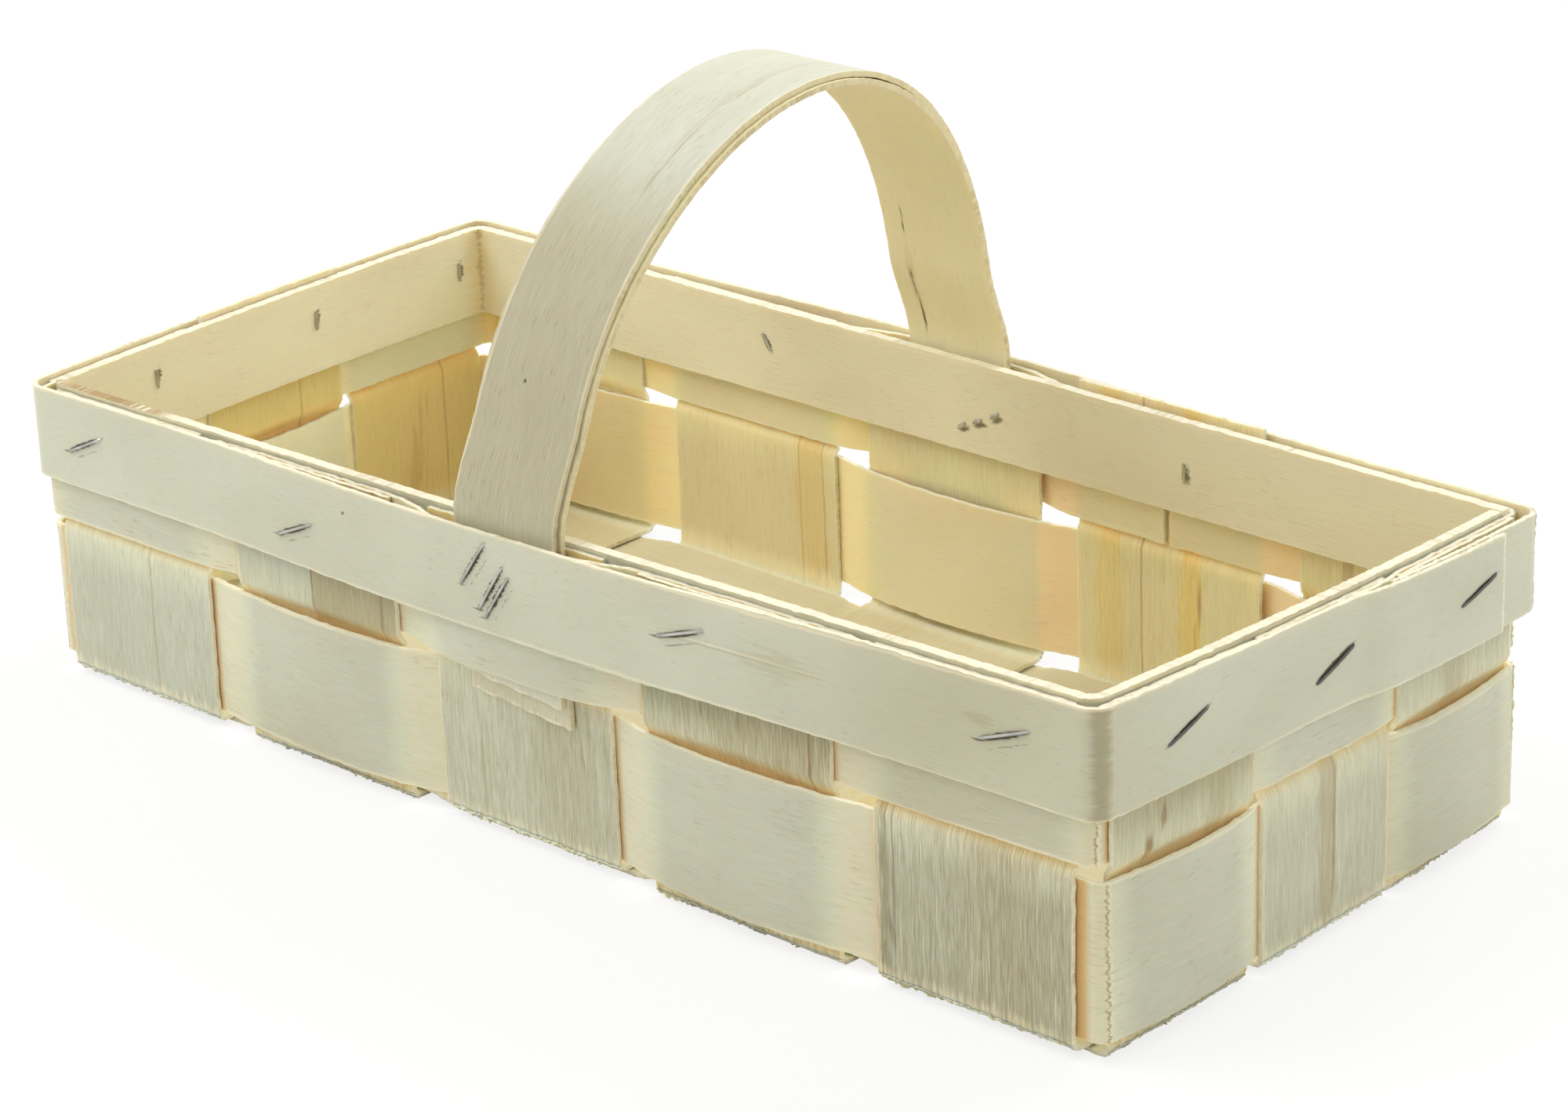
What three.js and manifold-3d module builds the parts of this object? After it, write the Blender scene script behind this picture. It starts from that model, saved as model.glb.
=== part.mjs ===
import * as THREE from 'three';
import { mergeVertices } from 'three/addons/utils/BufferGeometryUtils.js';
import Module from 'manifold-3d';

// Splint basket with a bow handle: flat wood strips woven into a base and four walls,
// two woven bands round the walls, a rim hoop on each side of them, wire staples.
// Millimetres, +Z up, X along the basket, the origin under the middle of its box.

// Overall sizes
const RIM_LENGTH = 302;
const RIM_WIDTH = 140.2;
const RIM_TOP = 68.4;
const BOW_TOP = 145;
const BOW_LEAN = 14;

// How far the bow draws in above its legs, and the share of its rise over which it does so
const BOW_TUCK = 4.5;
const TUCK_END = 0.3;

// How far the springy weave stands out of true: walls bowed at mid length, and one corner
// of the rim lifted above the flat base
const LONG_WALL_BOW = 0.6;
const SHORT_WALL_BOW = 1.5;
const CORNER_LIFT = 5.5;

// Wood thicknesses and band heights
const SPLINT = 1;
const INNER_RIM_THICKNESS = 2.3;
const PLY = 1.2;
const RIM_HEIGHT = 21;
const LOWER_BAND_HEIGHT = 30.7;
const HANDLE_WIDTH = 28;

// Strips and the spaces between them
const CROSS_COUNT = 5;
const LONG_COUNT = 3;
const CROSS_GAP = 10.5;
const LONG_GAP = 3;
const BAND_GAP = 3.2;

// Ends of the strips
const UPRIGHT_STEP = 1;
const OUTER_PLY_END = 35.3;
const INNER_PLY_END = 29.7;
const RIM_LAP_END = 9.5;
const RIM_LAP_LENGTH = 36;
const RIM_LAP_RAMP = 12;
const BAND_LAP_INSET = 3;
const BAND_JOINT = 1.5;

// Bends
const BASE_BEND = 2;
const BAND_BEND = 2.5;
const OUTER_RIM_BEND = 4;
const INNER_RIM_BEND = 2.6;
const BAND_SWELL = 0.8;
const RIM_SWELL_REACH = 95;

// Staples
const WIRE = 0.9;
const CROWN = 13;
const CLINCH = 4.4;
const CLINCH_GAP = 0.5;
const CROWN_BEND = 0.7;

// Clearances
const SEAT = 0.3;
const HOLE_CLEARANCE = 0.25;

// Fineness of the curves
const EASE_STEPS = 4;
const SPAN_STEPS = 4;
const RIM_STEPS = 16;
const BEND_STEPS = 4;
const ARCH_STEPS = 24;

// Colours
const PALE_WOOD = 0xe4dcc0;
const BAND_WOOD = 0xe0d7ba;
const RIM_WOOD = 0xe7e1cc;
const HANDLE_WOOD = 0xdcd2b4;
const STEEL = 0xb9b7b0;

// Layers of the wall, measured outwards from the middle surface of the weave
const step = (SPLINT + SEAT) / 2;
const outerRimMiddle = step + SPLINT + SEAT;
const innerRimMiddle = -(step + SPLINT / 2 + SEAT + INNER_RIM_THICKNESS / 2);
const innerRimFace = innerRimMiddle - INNER_RIM_THICKNESS / 2;
const halfLength = RIM_LENGTH / 2 - outerRimMiddle - SPLINT / 2;
const halfWidth = RIM_WIDTH / 2 - outerRimMiddle - SPLINT / 2;
const handleMiddle = -step + SPLINT / 2 + SEAT + PLY + SEAT / 2;
const bandOverHandle = handleMiddle + SEAT / 2 + PLY + SEAT + SPLINT / 2;
const rimSwell = bandOverHandle - step;
const cornerMargin = BAND_BEND + step + SEAT;

// Heights
const baseMiddle = step + SPLINT / 2;
const lowerBandBottom = baseMiddle + step + BASE_BEND + SEAT;
const lowerBandTop = lowerBandBottom + LOWER_BAND_HEIGHT;
const upperBandBottom = lowerBandTop + BAND_GAP;
const stripTop = RIM_TOP - UPRIGHT_STEP;
const rimBottom = RIM_TOP - RIM_HEIGHT;

// Spreads strips of one width over a wall, with one space between them
function layOut(half, count, gap) {
  const start = -(half - cornerMargin);
  const pitch = (gap - 2 * start) / count;
  return Array.from({ length: count }, (_, i) => {
    const from = start + i * pitch;
    const to = from + pitch - gap;
    return { from, to, centre: (from + to) / 2 };
  });
}

const crossStrips = layOut(halfLength, CROSS_COUNT, CROSS_GAP);
const longStrips = layOut(halfWidth, LONG_COUNT, LONG_GAP);
const middleStrip = Math.floor(CROSS_COUNT / 2);
const handleCentre = crossStrips[middleStrip].centre;

// Plain weave: every second cross strip, counted from the middle one, passes outside the
// lower band and inside the upper one, and the rest the other way. The handle presses the
// middle cross strip inwards over its whole height.
crossStrips.forEach((strip, i) => {
  const even = (i - middleStrip) % 2 === 0;
  strip.high = even ? -step : step;
  strip.low = i === middleStrip ? -step : -strip.high;
  strip.lowBand = strip.low + (even ? -2 : 2) * step;
  strip.highBand = i === middleStrip ? bandOverHandle : -strip.high;
});
longStrips.forEach((strip, j) => {
  strip.low = j % 2 === 0 ? -step : step;
  strip.high = -strip.low;
  strip.lowBand = -strip.low;
  strip.highBand = -strip.high;
});

function crossOver(i, j) {
  return (i - middleStrip + j) % 2 === 0 ? step : -step;
}

// Points along a strip that keeps one offset over each span and eases between spans
function weaveRun(spans, steps) {
  const points = [];
  spans.forEach((span, i) => {
    if (i > 0) {
      const last = spans[i - 1];
      for (let k = 1; k < EASE_STEPS; k += 1) {
        const u = k / EASE_STEPS;
        points.push(new THREE.Vector2(
          THREE.MathUtils.lerp(last.to, span.from, u),
          THREE.MathUtils.lerp(last.offset, span.offset, THREE.MathUtils.smoothstep(u, 0, 1)),
        ));
      }
    }
    for (let k = 0; k <= steps; k += 1) {
      const u = k / steps;
      const swell = (span.swell ?? 0) * Math.sin(Math.PI * u);
      points.push(new THREE.Vector2(
        THREE.MathUtils.lerp(span.from, span.to, u),
        span.offset + swell,
      ));
    }
  });
  return points;
}

function arc(centreX, centreY, radius, startAngle) {
  const points = [];
  for (let k = 0; k <= BEND_STEPS; k += 1) {
    const angle = startAngle + (k / BEND_STEPS) * (Math.PI / 2);
    points.push(new THREE.Vector2(
      centreX + radius * Math.cos(angle),
      centreY + radius * Math.sin(angle),
    ));
  }
  return points;
}

// Drops points that lie on top of the one before
function withoutRepeats(points) {
  const shortest = 0.02;
  return points.filter((p, i) => i === 0 || p.distanceTo(points[i - 1]) > shortest);
}

// Closed outline of a strip seen on its edge, shifted sideways from its path
function ribbon(path, thickness, shift = 0) {
  const points = withoutRepeats(path);
  const normals = points.slice(1).map((p, i) => {
    const along = p.clone().sub(points[i]).normalize();
    return new THREE.Vector2(along.y, -along.x);
  });
  const sides = [shift + thickness / 2, shift - thickness / 2].map((distance) => points.map((p, i) => {
    const before = normals[Math.max(i - 1, 0)];
    const after = normals[Math.min(i, normals.length - 1)];
    const mitre = before.clone().add(after).normalize();
    return p.clone().addScaledVector(mitre, distance / mitre.dot(before));
  }));
  return new THREE.Shape([...sides[0], ...sides[1].reverse()]);
}

function extrude(shape, depth) {
  return new THREE.ExtrudeGeometry(shape, { depth, bevelEnabled: false, steps: 1 });
}

// Turns an extrusion so that its outline stands in the YZ or XZ plane
function standAcross(geometry, from) {
  const turn = new THREE.Matrix4().set(0, 0, 1, from, 1, 0, 0, 0, 0, 1, 0, 0, 0, 0, 0, 1);
  return geometry.applyMatrix4(turn);
}

function standAlong(geometry, to) {
  const turn = new THREE.Matrix4().set(1, 0, 0, 0, 0, 0, -1, to, 0, 1, 0, 0, 0, 0, 0, 1);
  return geometry.applyMatrix4(turn);
}

// The springy walls bow outwards between the corners
function bowOut(point) {
  const u = point.x / halfLength;
  const v = point.y / halfWidth;
  return new THREE.Vector2(
    u * (halfLength + SHORT_WALL_BOW * (1 - v * v)),
    v * (halfWidth + LONG_WALL_BOW * (1 - u * u)),
  );
}

function bowAll(geometry) {
  const position = geometry.getAttribute('position');
  for (let i = 0; i < position.count; i += 1) {
    const bowed = bowOut(new THREE.Vector2(position.getX(i), position.getY(i)));
    position.setXY(i, bowed.x, bowed.y);
  }
  return geometry;
}

// Stretches the walls upwards towards the lifted corner, in front on the right
function settle(geometry) {
  const position = geometry.getAttribute('position');
  for (let i = 0; i < position.count; i += 1) {
    const u = position.getX(i) / halfLength;
    const v = position.getY(i) / halfWidth;
    const share = ((1 + u) * (1 - v)) / 4;
    position.setZ(i, position.getZ(i) * (1 + (share * CORNER_LIFT) / RIM_TOP));
  }
  return geometry;
}

// Side view of a strip that runs up one wall, across the base and up the other wall
function stripPath(half, strip, crossings) {
  const wall = weaveRun([
    { from: -stripTop, to: -upperBandBottom, offset: strip.high },
    { from: -lowerBandTop, to: -lowerBandBottom, offset: strip.low },
  ], 1);
  const ends = [crossings[0], crossings[crossings.length - 1]].map((c) => c.offset + BASE_BEND);
  const bendAt = half + strip.low - BASE_BEND;
  const floor = weaveRun(crossings, 1);
  return [
    ...wall.map((p) => new THREE.Vector2(-(half + p.y), -p.x)),
    ...arc(-bendAt, ends[0], BASE_BEND, Math.PI),
    ...floor,
    ...arc(bendAt, ends[1], BASE_BEND, 1.5 * Math.PI),
    ...wall.map((p) => new THREE.Vector2(half + p.y, -p.x)).reverse(),
  ];
}

function crossStrip(strip, i) {
  const crossings = longStrips.map((other, j) => (
    { from: other.from, to: other.to, offset: baseMiddle + crossOver(i, j) }
  ));
  const outline = ribbon(stripPath(halfWidth, strip, crossings), SPLINT);
  return standAcross(extrude(outline, strip.to - strip.from), strip.from);
}

function longStrip(strip, j) {
  const crossings = crossStrips.map((other, i) => (
    { from: other.from, to: other.to, offset: baseMiddle - crossOver(i, j) }
  ));
  const outline = ribbon(stripPath(halfLength, strip, crossings), SPLINT);
  return standAlong(extrude(outline, strip.to - strip.from), strip.to);
}

// The four walls in plan, counted from the front one anticlockwise. A place on a wall
// is given by the distance along it and the offset outwards.
const [FRONT, RIGHT, BACK, LEFT] = [0, 1, 2, 3];
const wallDistance = [halfWidth, halfLength, halfWidth, halfLength];
const ORIGIN = new THREE.Vector2();

function distanceOfNext(wall) {
  return wallDistance[(wall + 1) % wallDistance.length];
}

function turnToWall(point, wall) {
  return point.rotateAround(ORIGIN, wall * (Math.PI / 2));
}

function onWall(wall, along, offset) {
  return turnToWall(new THREE.Vector2(along, -(wallDistance[wall] + offset)), wall);
}

// Plan of a band that follows runs on successive walls, with bends between them
function hoopPath(runs, bend) {
  const path = [];
  runs.forEach(({ wall, points }, i) => {
    path.push(...points.map((p) => onWall(wall, p.x, p.y)));
    if (i < runs.length - 1) {
      const reach = distanceOfNext(wall) + runs[i + 1].points[0].y - bend;
      const depth = wallDistance[wall] + points[points.length - 1].y - bend;
      path.push(...arc(reach, -depth, bend, -Math.PI / 2).map((p) => turnToWall(p, wall)));
    }
  });
  return path.map(bowOut);
}

// Spans of a band over the strips of a wall, in the order in which it meets them
function bandSpans(wall, level, swell) {
  const strips = wall === FRONT || wall === BACK ? crossStrips : longStrips;
  const spans = strips.map((strip) => ({
    from: strip.from,
    to: strip.to,
    offset: strip[level],
    swell: Math.sign(strip[level]) * swell,
  }));
  if (wall === FRONT || wall === RIGHT) {
    return spans;
  }
  return spans.reverse().map((span) => ({ ...span, from: -span.to, to: -span.from }));
}

// The lower band's ends lap outside the second strip of the back wall
function lowerBand() {
  const back = bandSpans(BACK, 'lowBand', BAND_SWELL);
  const [corner, lap, ...rest] = back;
  const under = { ...lap, from: lap.from + BAND_LAP_INSET, swell: 0 };
  const over = { ...lap, to: lap.to - BAND_LAP_INSET, offset: lap.offset + SPLINT + SEAT, swell: 0 };
  const path = hoopPath([
    { wall: BACK, points: weaveRun([under, ...rest], SPAN_STEPS) },
    ...[LEFT, FRONT, RIGHT].map((wall) => (
      { wall, points: weaveRun(bandSpans(wall, 'lowBand', BAND_SWELL), SPAN_STEPS) }
    )),
    { wall: BACK, points: weaveRun([corner, over], SPAN_STEPS) },
  ], BAND_BEND);
  return extrude(ribbon(path, SPLINT), LOWER_BAND_HEIGHT).translate(0, 0, lowerBandBottom);
}

// The upper band lies flat between the rim hoops and swells over the handle's legs.
// Its ends meet behind the second strip of the back wall.
function upperBand() {
  const overHandle = HANDLE_WIDTH / 2 + SEAT + SPLINT;
  const spansOn = (wall) => bandSpans(wall, 'highBand', 0).map((span) => {
    if (span.offset !== bandOverHandle) {
      return span;
    }
    const centre = wall === FRONT ? handleCentre : -handleCentre;
    return { ...span, from: centre - overHandle, to: centre + overHandle };
  });
  const [corner, joint, ...rest] = spansOn(BACK);
  const meet = (joint.from + joint.to) / 2;
  const path = hoopPath([
    { wall: BACK, points: weaveRun([{ ...joint, from: meet + BAND_JOINT / 2 }, ...rest], SPAN_STEPS) },
    ...[LEFT, FRONT, RIGHT].map((wall) => ({ wall, points: weaveRun(spansOn(wall), SPAN_STEPS) })),
    { wall: BACK, points: weaveRun([corner, { ...joint, to: meet - BAND_JOINT / 2 }], SPAN_STEPS) },
  ], BAND_BEND);
  return extrude(ribbon(path, SPLINT), stripTop - upperBandBottom).translate(0, 0, upperBandBottom);
}

// Offset of the outer hoop's middle: pushed out by the handle's legs on the long walls,
// and lifted over its own other end near the back of the right wall
const lapTo = halfWidth - RIM_LAP_END;
const lapFrom = lapTo - RIM_LAP_LENGTH;

function outerRimOffset(wall, along) {
  if (wall === RIGHT) {
    const ramp = THREE.MathUtils.smoothstep(along, lapFrom - RIM_LAP_RAMP, lapFrom - SEAT);
    return outerRimMiddle + (SPLINT + SEAT) * ramp;
  }
  if (wall === LEFT) {
    return outerRimMiddle;
  }
  const centre = wall === FRONT ? handleCentre : -handleCentre;
  const away = Math.abs(along - centre) - HANDLE_WIDTH / 2 - 2 * SEAT - SPLINT;
  return outerRimMiddle + rimSwell * (1 - THREE.MathUtils.smoothstep(away, 0, RIM_SWELL_REACH));
}

function evenRun(from, to, offsetAt) {
  return Array.from({ length: RIM_STEPS + 1 }, (_, k) => {
    const along = THREE.MathUtils.lerp(from, to, k / RIM_STEPS);
    return new THREE.Vector2(along, offsetAt(along));
  });
}

function outerRim() {
  const cornerStart = OUTER_RIM_BEND - outerRimMiddle + SEAT;
  const runOn = (wall, limits = {}) => {
    const end = distanceOfNext(wall) - cornerStart;
    return {
      wall,
      points: evenRun(limits.from ?? -end, limits.to ?? end, (along) => outerRimOffset(wall, along)),
    };
  };
  const underLap = {
    wall: RIGHT,
    points: evenRun(lapFrom, halfWidth - cornerStart, () => outerRimMiddle),
  };
  const runs = [underLap, runOn(BACK), runOn(LEFT), runOn(FRONT), runOn(RIGHT, { to: lapTo })];
  const outline = ribbon(hoopPath(runs, OUTER_RIM_BEND), SPLINT);
  return extrude(outline, RIM_HEIGHT).translate(0, 0, rimBottom);
}

// The inner hoop is one thick strip whose ends butt in the back right corner
function innerRim() {
  const cornerStart = INNER_RIM_BEND - innerRimMiddle + SEAT;
  const buttEnd = halfLength + innerRimMiddle + INNER_RIM_THICKNESS / 2;
  const stopEnd = halfWidth + innerRimFace - SEAT;
  const runOn = (wall, limits = {}) => {
    const end = distanceOfNext(wall) - cornerStart;
    return { wall, points: evenRun(limits.from ?? -end, limits.to ?? end, () => innerRimMiddle) };
  };
  const runs = [
    runOn(BACK, { from: -buttEnd }),
    runOn(LEFT),
    runOn(FRONT),
    runOn(RIGHT, { to: stopEnd }),
  ];
  const outline = ribbon(hoopPath(runs, INNER_RIM_BEND), INNER_RIM_THICKNESS);
  return extrude(outline, RIM_HEIGHT).translate(0, 0, rimBottom);
}

// One ply of the bow: straight legs in the wall, then half an ellipse that leans back
function handlePly(shift, endHeight) {
  const half = halfWidth + handleMiddle;
  const rise = BOW_TOP - RIM_TOP - PLY - SEAT / 2;
  const arch = Array.from({ length: ARCH_STEPS + 1 }, (_, k) => {
    const angle = Math.PI * (1 - k / ARCH_STEPS);
    const up = Math.sin(angle);
    const reach = half - BOW_TUCK * THREE.MathUtils.smoothstep(up, 0, TUCK_END);
    const lean = BOW_LEAN * up * up;
    return new THREE.Vector2(reach * Math.cos(angle) + lean, RIM_TOP + rise * up);
  });
  const path = [new THREE.Vector2(-half, endHeight), ...arch, new THREE.Vector2(half, endHeight)];
  const outline = ribbon(path, PLY, shift);
  return standAcross(extrude(outline, HANDLE_WIDTH), handleCentre - HANDLE_WIDTH / 2);
}

// A staple seen along its wall: the crown outside the outer hoop, the legs running in
// towards each other, and the tips clinched flat on the inner hoop
function staple({ wall, along, height, tilt }, extra = 0) {
  const outside = outerRimOffset(wall, along) + SPLINT / 2 + SEAT + WIRE / 2;
  const inside = innerRimFace - SEAT - WIRE / 2;
  const half = CROWN / 2 - WIRE / 2;
  const side = [
    new THREE.Vector2(CLINCH_GAP / 2 - extra, inside),
    new THREE.Vector2(CLINCH / 2, inside),
    new THREE.Vector2(half, outside - CROWN_BEND),
    new THREE.Vector2(half - CROWN_BEND, outside),
  ];
  const path = [
    ...side.map((p) => new THREE.Vector2(-p.x, p.y)),
    ...side.reverse(),
  ];
  const width = WIRE + 2 * extra;
  const geometry = extrude(ribbon(path, width), width).translate(0, 0, -width / 2);
  const slope = Math.atan2(
    outerRimOffset(wall, along + half) - outerRimOffset(wall, along - half),
    2 * half,
  );
  return geometry
    .scale(1, -1, 1)
    .rotateY(-THREE.MathUtils.degToRad(tilt))
    .rotateZ(-slope)
    .translate(along, -wallDistance[wall], height)
    .rotateZ(wall * (Math.PI / 2));
}

// Mirrors a staple's faces back after its outline was flipped
function faceOut(geometry) {
  const position = geometry.getAttribute('position');
  for (let i = 0; i < position.count; i += 3) {
    const [x, y, z] = [position.getX(i), position.getY(i), position.getZ(i)];
    position.setXYZ(i, position.getX(i + 1), position.getY(i + 1), position.getZ(i + 1));
    position.setXYZ(i + 1, x, y, z);
  }
  return geometry;
}

// Places of the staples: the strip that each one pierces, its shift from that strip's middle,
// its drop below the rim's top and its tilt in degrees
const handleStrip = crossStrips[middleStrip];
const stapleRows = [
  {
    name: 'front',
    wall: FRONT,
    places: [
      { strip: crossStrips.at(0), shift: -11.5, drop: 10.5, tilt: 25 },
      { strip: crossStrips.at(1), shift: -1.7, drop: 13.1, tilt: 23 },
      { strip: crossStrips.at(-2), shift: -10.5, drop: 8.4, tilt: 17 },
      { strip: crossStrips.at(-1), shift: 8.9, drop: 9.4, tilt: 19 },
    ],
  },
  {
    name: 'handle_front',
    wall: FRONT,
    places: [
      { strip: handleStrip, shift: -6.5, drop: 7.2, tilt: 53 },
      { strip: handleStrip, shift: -1.6, drop: 11.3, tilt: 55 },
      { strip: handleStrip, shift: 0, drop: 12.9, tilt: 54 },
    ],
  },
  {
    name: 'right',
    wall: RIGHT,
    places: [
      { strip: longStrips.at(0), shift: -0.7, drop: 9.9, tilt: 20 },
      { strip: longStrips.at(1), shift: 0, drop: 11.4, tilt: 22 },
      { strip: longStrips.at(-1), shift: 0.9, drop: 9.2, tilt: 16 },
    ],
  },
  {
    name: 'back',
    wall: BACK,
    places: [
      { strip: crossStrips.at(1), shift: 7.5, drop: 8.5, tilt: 20 },
      { strip: crossStrips.at(-2), shift: 6.8, drop: 11.6, tilt: 20 },
    ],
  },
  {
    name: 'handle_back',
    wall: BACK,
    places: [
      { strip: handleStrip, shift: 5.2, drop: 15.2, tilt: 55 },
      { strip: handleStrip, shift: 9.8, drop: 13.2, tilt: 55 },
      { strip: handleStrip, shift: 14.7, drop: 10.8, tilt: 55 },
    ],
  },
  {
    name: 'left',
    wall: LEFT,
    places: [
      { strip: longStrips.at(0), shift: 6.8, drop: 8, tilt: 20 },
      { strip: longStrips.at(1), shift: 11.9, drop: 8.4, tilt: 20 },
      { strip: longStrips.at(-1), shift: 13.2, drop: 9.1, tilt: 20 },
    ],
  },
];

function stapleSpots({ name, wall, places }) {
  const towards = wall === FRONT || wall === RIGHT ? 1 : -1;
  return places.map(({ strip, shift, drop, tilt }, i) => ({
    name: `staple_${name}_${i + 1}`,
    wall,
    along: towards * (strip.centre + shift),
    height: RIM_TOP - drop,
    tilt,
  }));
}

const staples = stapleRows.flatMap(stapleSpots);

// Solids for cutting the leg holes
const wasm = await Module();
wasm.setup();

function merged(geometry) {
  const bare = geometry.index ? geometry.toNonIndexed() : geometry.clone();
  bare.deleteAttribute('normal');
  bare.deleteAttribute('uv');
  return mergeVertices(bare, 1e-4);
}

function toSolid(geometry) {
  const bare = merged(geometry);
  return new wasm.Manifold(new wasm.Mesh({
    numProp: 3,
    vertProperties: new Float32Array(bare.getAttribute('position').array),
    triVerts: new Uint32Array(bare.index.array),
  }));
}

function toGeometry(solid) {
  const mesh = solid.getMesh();
  const geometry = new THREE.BufferGeometry();
  geometry.setAttribute('position', new THREE.BufferAttribute(mesh.vertProperties, 3));
  geometry.setIndex(new THREE.BufferAttribute(mesh.triVerts, 1));
  return geometry;
}

const legHoles = staples.map((place) => (
  toSolid(settle(bowAll(faceOut(staple(place, HOLE_CLEARANCE)))))
));

function pierced(geometry) {
  return toGeometry(legHoles.reduce((solid, hole) => solid.subtract(hole), toSolid(geometry)));
}

// Assembly
const group = new THREE.Group();
group.name = 'bow_handle_basket';

function place(name, geometry, color, roughness = 0.8, metalness = 0) {
  const material = new THREE.MeshStandardMaterial({ color, roughness, metalness });
  const mesh = new THREE.Mesh(geometry, material);
  mesh.name = name;
  group.add(mesh);
}

const wood = (geometry) => pierced(settle(geometry));
const plyShift = (PLY + SEAT) / 2;

longStrips.forEach((strip, j) => {
  place(`long_strip_${j + 1}`, wood(bowAll(longStrip(strip, j))), PALE_WOOD);
});
crossStrips.forEach((strip, i) => {
  place(`cross_strip_${i + 1}`, wood(bowAll(crossStrip(strip, i))), PALE_WOOD);
});
place('lower_band', wood(lowerBand()), BAND_WOOD);
place('upper_band', wood(upperBand()), BAND_WOOD);
place('inner_rim', wood(innerRim()), RIM_WOOD);
place('outer_rim', wood(outerRim()), RIM_WOOD);
place('handle_inner_ply', wood(bowAll(handlePly(plyShift, INNER_PLY_END))), HANDLE_WOOD);
place('handle_outer_ply', wood(bowAll(handlePly(-plyShift, OUTER_PLY_END))), HANDLE_WOOD);
staples.forEach((spot) => {
  place(spot.name, merged(settle(bowAll(faceOut(staple(spot))))), STEEL, 0.35, 1);
});

// The origin sits under the middle of the finished basket's box
const box = new THREE.Box3().setFromObject(group);
const middle = box.getCenter(new THREE.Vector3());
group.position.set(-middle.x, -middle.y, -box.min.z);

export default group;
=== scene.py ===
"""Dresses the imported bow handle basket: woven veneer strips and bands, rim hoops, bow and wire staples."""
import math
import random
from collections import namedtuple
from types import SimpleNamespace

import bpy
import numpy as np
from bpy.props import FloatProperty, FloatVectorProperty, IntProperty, PointerProperty
from mathutils import Matrix, Vector


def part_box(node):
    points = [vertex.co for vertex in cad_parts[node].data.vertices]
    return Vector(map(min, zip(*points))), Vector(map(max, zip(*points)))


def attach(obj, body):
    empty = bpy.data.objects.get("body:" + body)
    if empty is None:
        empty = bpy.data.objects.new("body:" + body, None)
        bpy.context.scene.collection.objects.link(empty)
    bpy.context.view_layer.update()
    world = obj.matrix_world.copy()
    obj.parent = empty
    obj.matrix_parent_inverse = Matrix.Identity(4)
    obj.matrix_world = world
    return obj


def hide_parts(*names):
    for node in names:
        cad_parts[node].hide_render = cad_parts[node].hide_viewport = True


bl_info = {
    "name": "Bow Handle Basket",
    "version": (1, 0, 0),
    "blender": (4, 5, 0),
    "location": "View3D > Sidebar > Basket",
    "description": "Builds a splint basket with a stapled rim and a bow handle over its packed frame",
    "category": "Add Mesh",
}

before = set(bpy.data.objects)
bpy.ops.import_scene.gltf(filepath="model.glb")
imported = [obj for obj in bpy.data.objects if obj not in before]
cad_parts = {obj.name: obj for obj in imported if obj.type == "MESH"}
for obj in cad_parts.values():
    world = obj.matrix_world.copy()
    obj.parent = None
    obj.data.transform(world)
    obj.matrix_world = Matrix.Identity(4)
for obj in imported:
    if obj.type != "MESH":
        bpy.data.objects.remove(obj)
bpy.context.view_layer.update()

FRONT, RIGHT, BACK, LEFT = range(4)

# Steps of the paths
EASE_STEPS = 8
SPAN_STEPS = 12
WALL_STEPS = 4
FLOOR_STEPS = 2
BEND_STEPS = 8
RIM_STEPS = 60
ARCH_STEPS = 90

# Lengths in metres
TINY = 1e-6
BAND_STIFFNESS = 0.003
SOFTEN_STEP = 0.0008
COLUMN_SPACING = 0.0018
WIDEST_GAP = 0.03
BAND_TUCK_FADE, BAND_LIT_FADE = 0.0015, 0.007
STRIP_TUCK_FADE, STRIP_LIT_FADE = 0.0034, 0.009
ASKEW_REACH = 0.012
RAGGED_END = 0.0006
FIBRE_PITCH = 0.0006
FIBRE_ROOT = 0.0004
FRINGE_ROW = 0.0012
FRINGE_JITTER = 0.0003
FRINGE_WALL = 0.0003
CAGE_CLEARANCE = 0.008
RIPPLE_SCALE = 0.035
TABLE_CLEARANCE = 0.00005
PLY_CLEARANCE = 0.00004
STAPLE_BEND = 0.0007

# Shares of the bow's arch: where it stops drawing in, and where its plies part
ARCH_DRAW_IN = 0.3
PLY_SPLIT_AT, PLY_SPLIT_REACH = 0.36, 0.1

# Waves of a torn fringe in radians for each metre
SHORT_WAVE, LONG_WAVE = 170, 61

# Spans that tuck in and spans that are lit, each with the length of its fade: none of either
UNLIT = (((), 1.0), ((), 1.0))

CAGE_POINTS = (15, 11, 2)
SHARP_EDGE = math.radians(38)


# Sizes and colours

def distance(name, default):
    return FloatProperty(name=name, default=default, unit="LENGTH", precision=5)


def angle(name, degrees):
    return FloatProperty(name=name, default=math.radians(degrees), subtype="ANGLE")


def colour(name, *levels):
    """A colour given by its display levels from 0 to 255."""
    return FloatVectorProperty(
        name=name, subtype="COLOR", size=3, min=0, max=1, default=tuple(srgb(level) for level in levels),
    )


def srgb(level):
    """Linear value of a display colour level from 0 to 255."""
    c = level / 255
    return c / 12.92 if c <= 0.04045 else ((c + 0.055) / 1.055) ** 2.4


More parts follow.
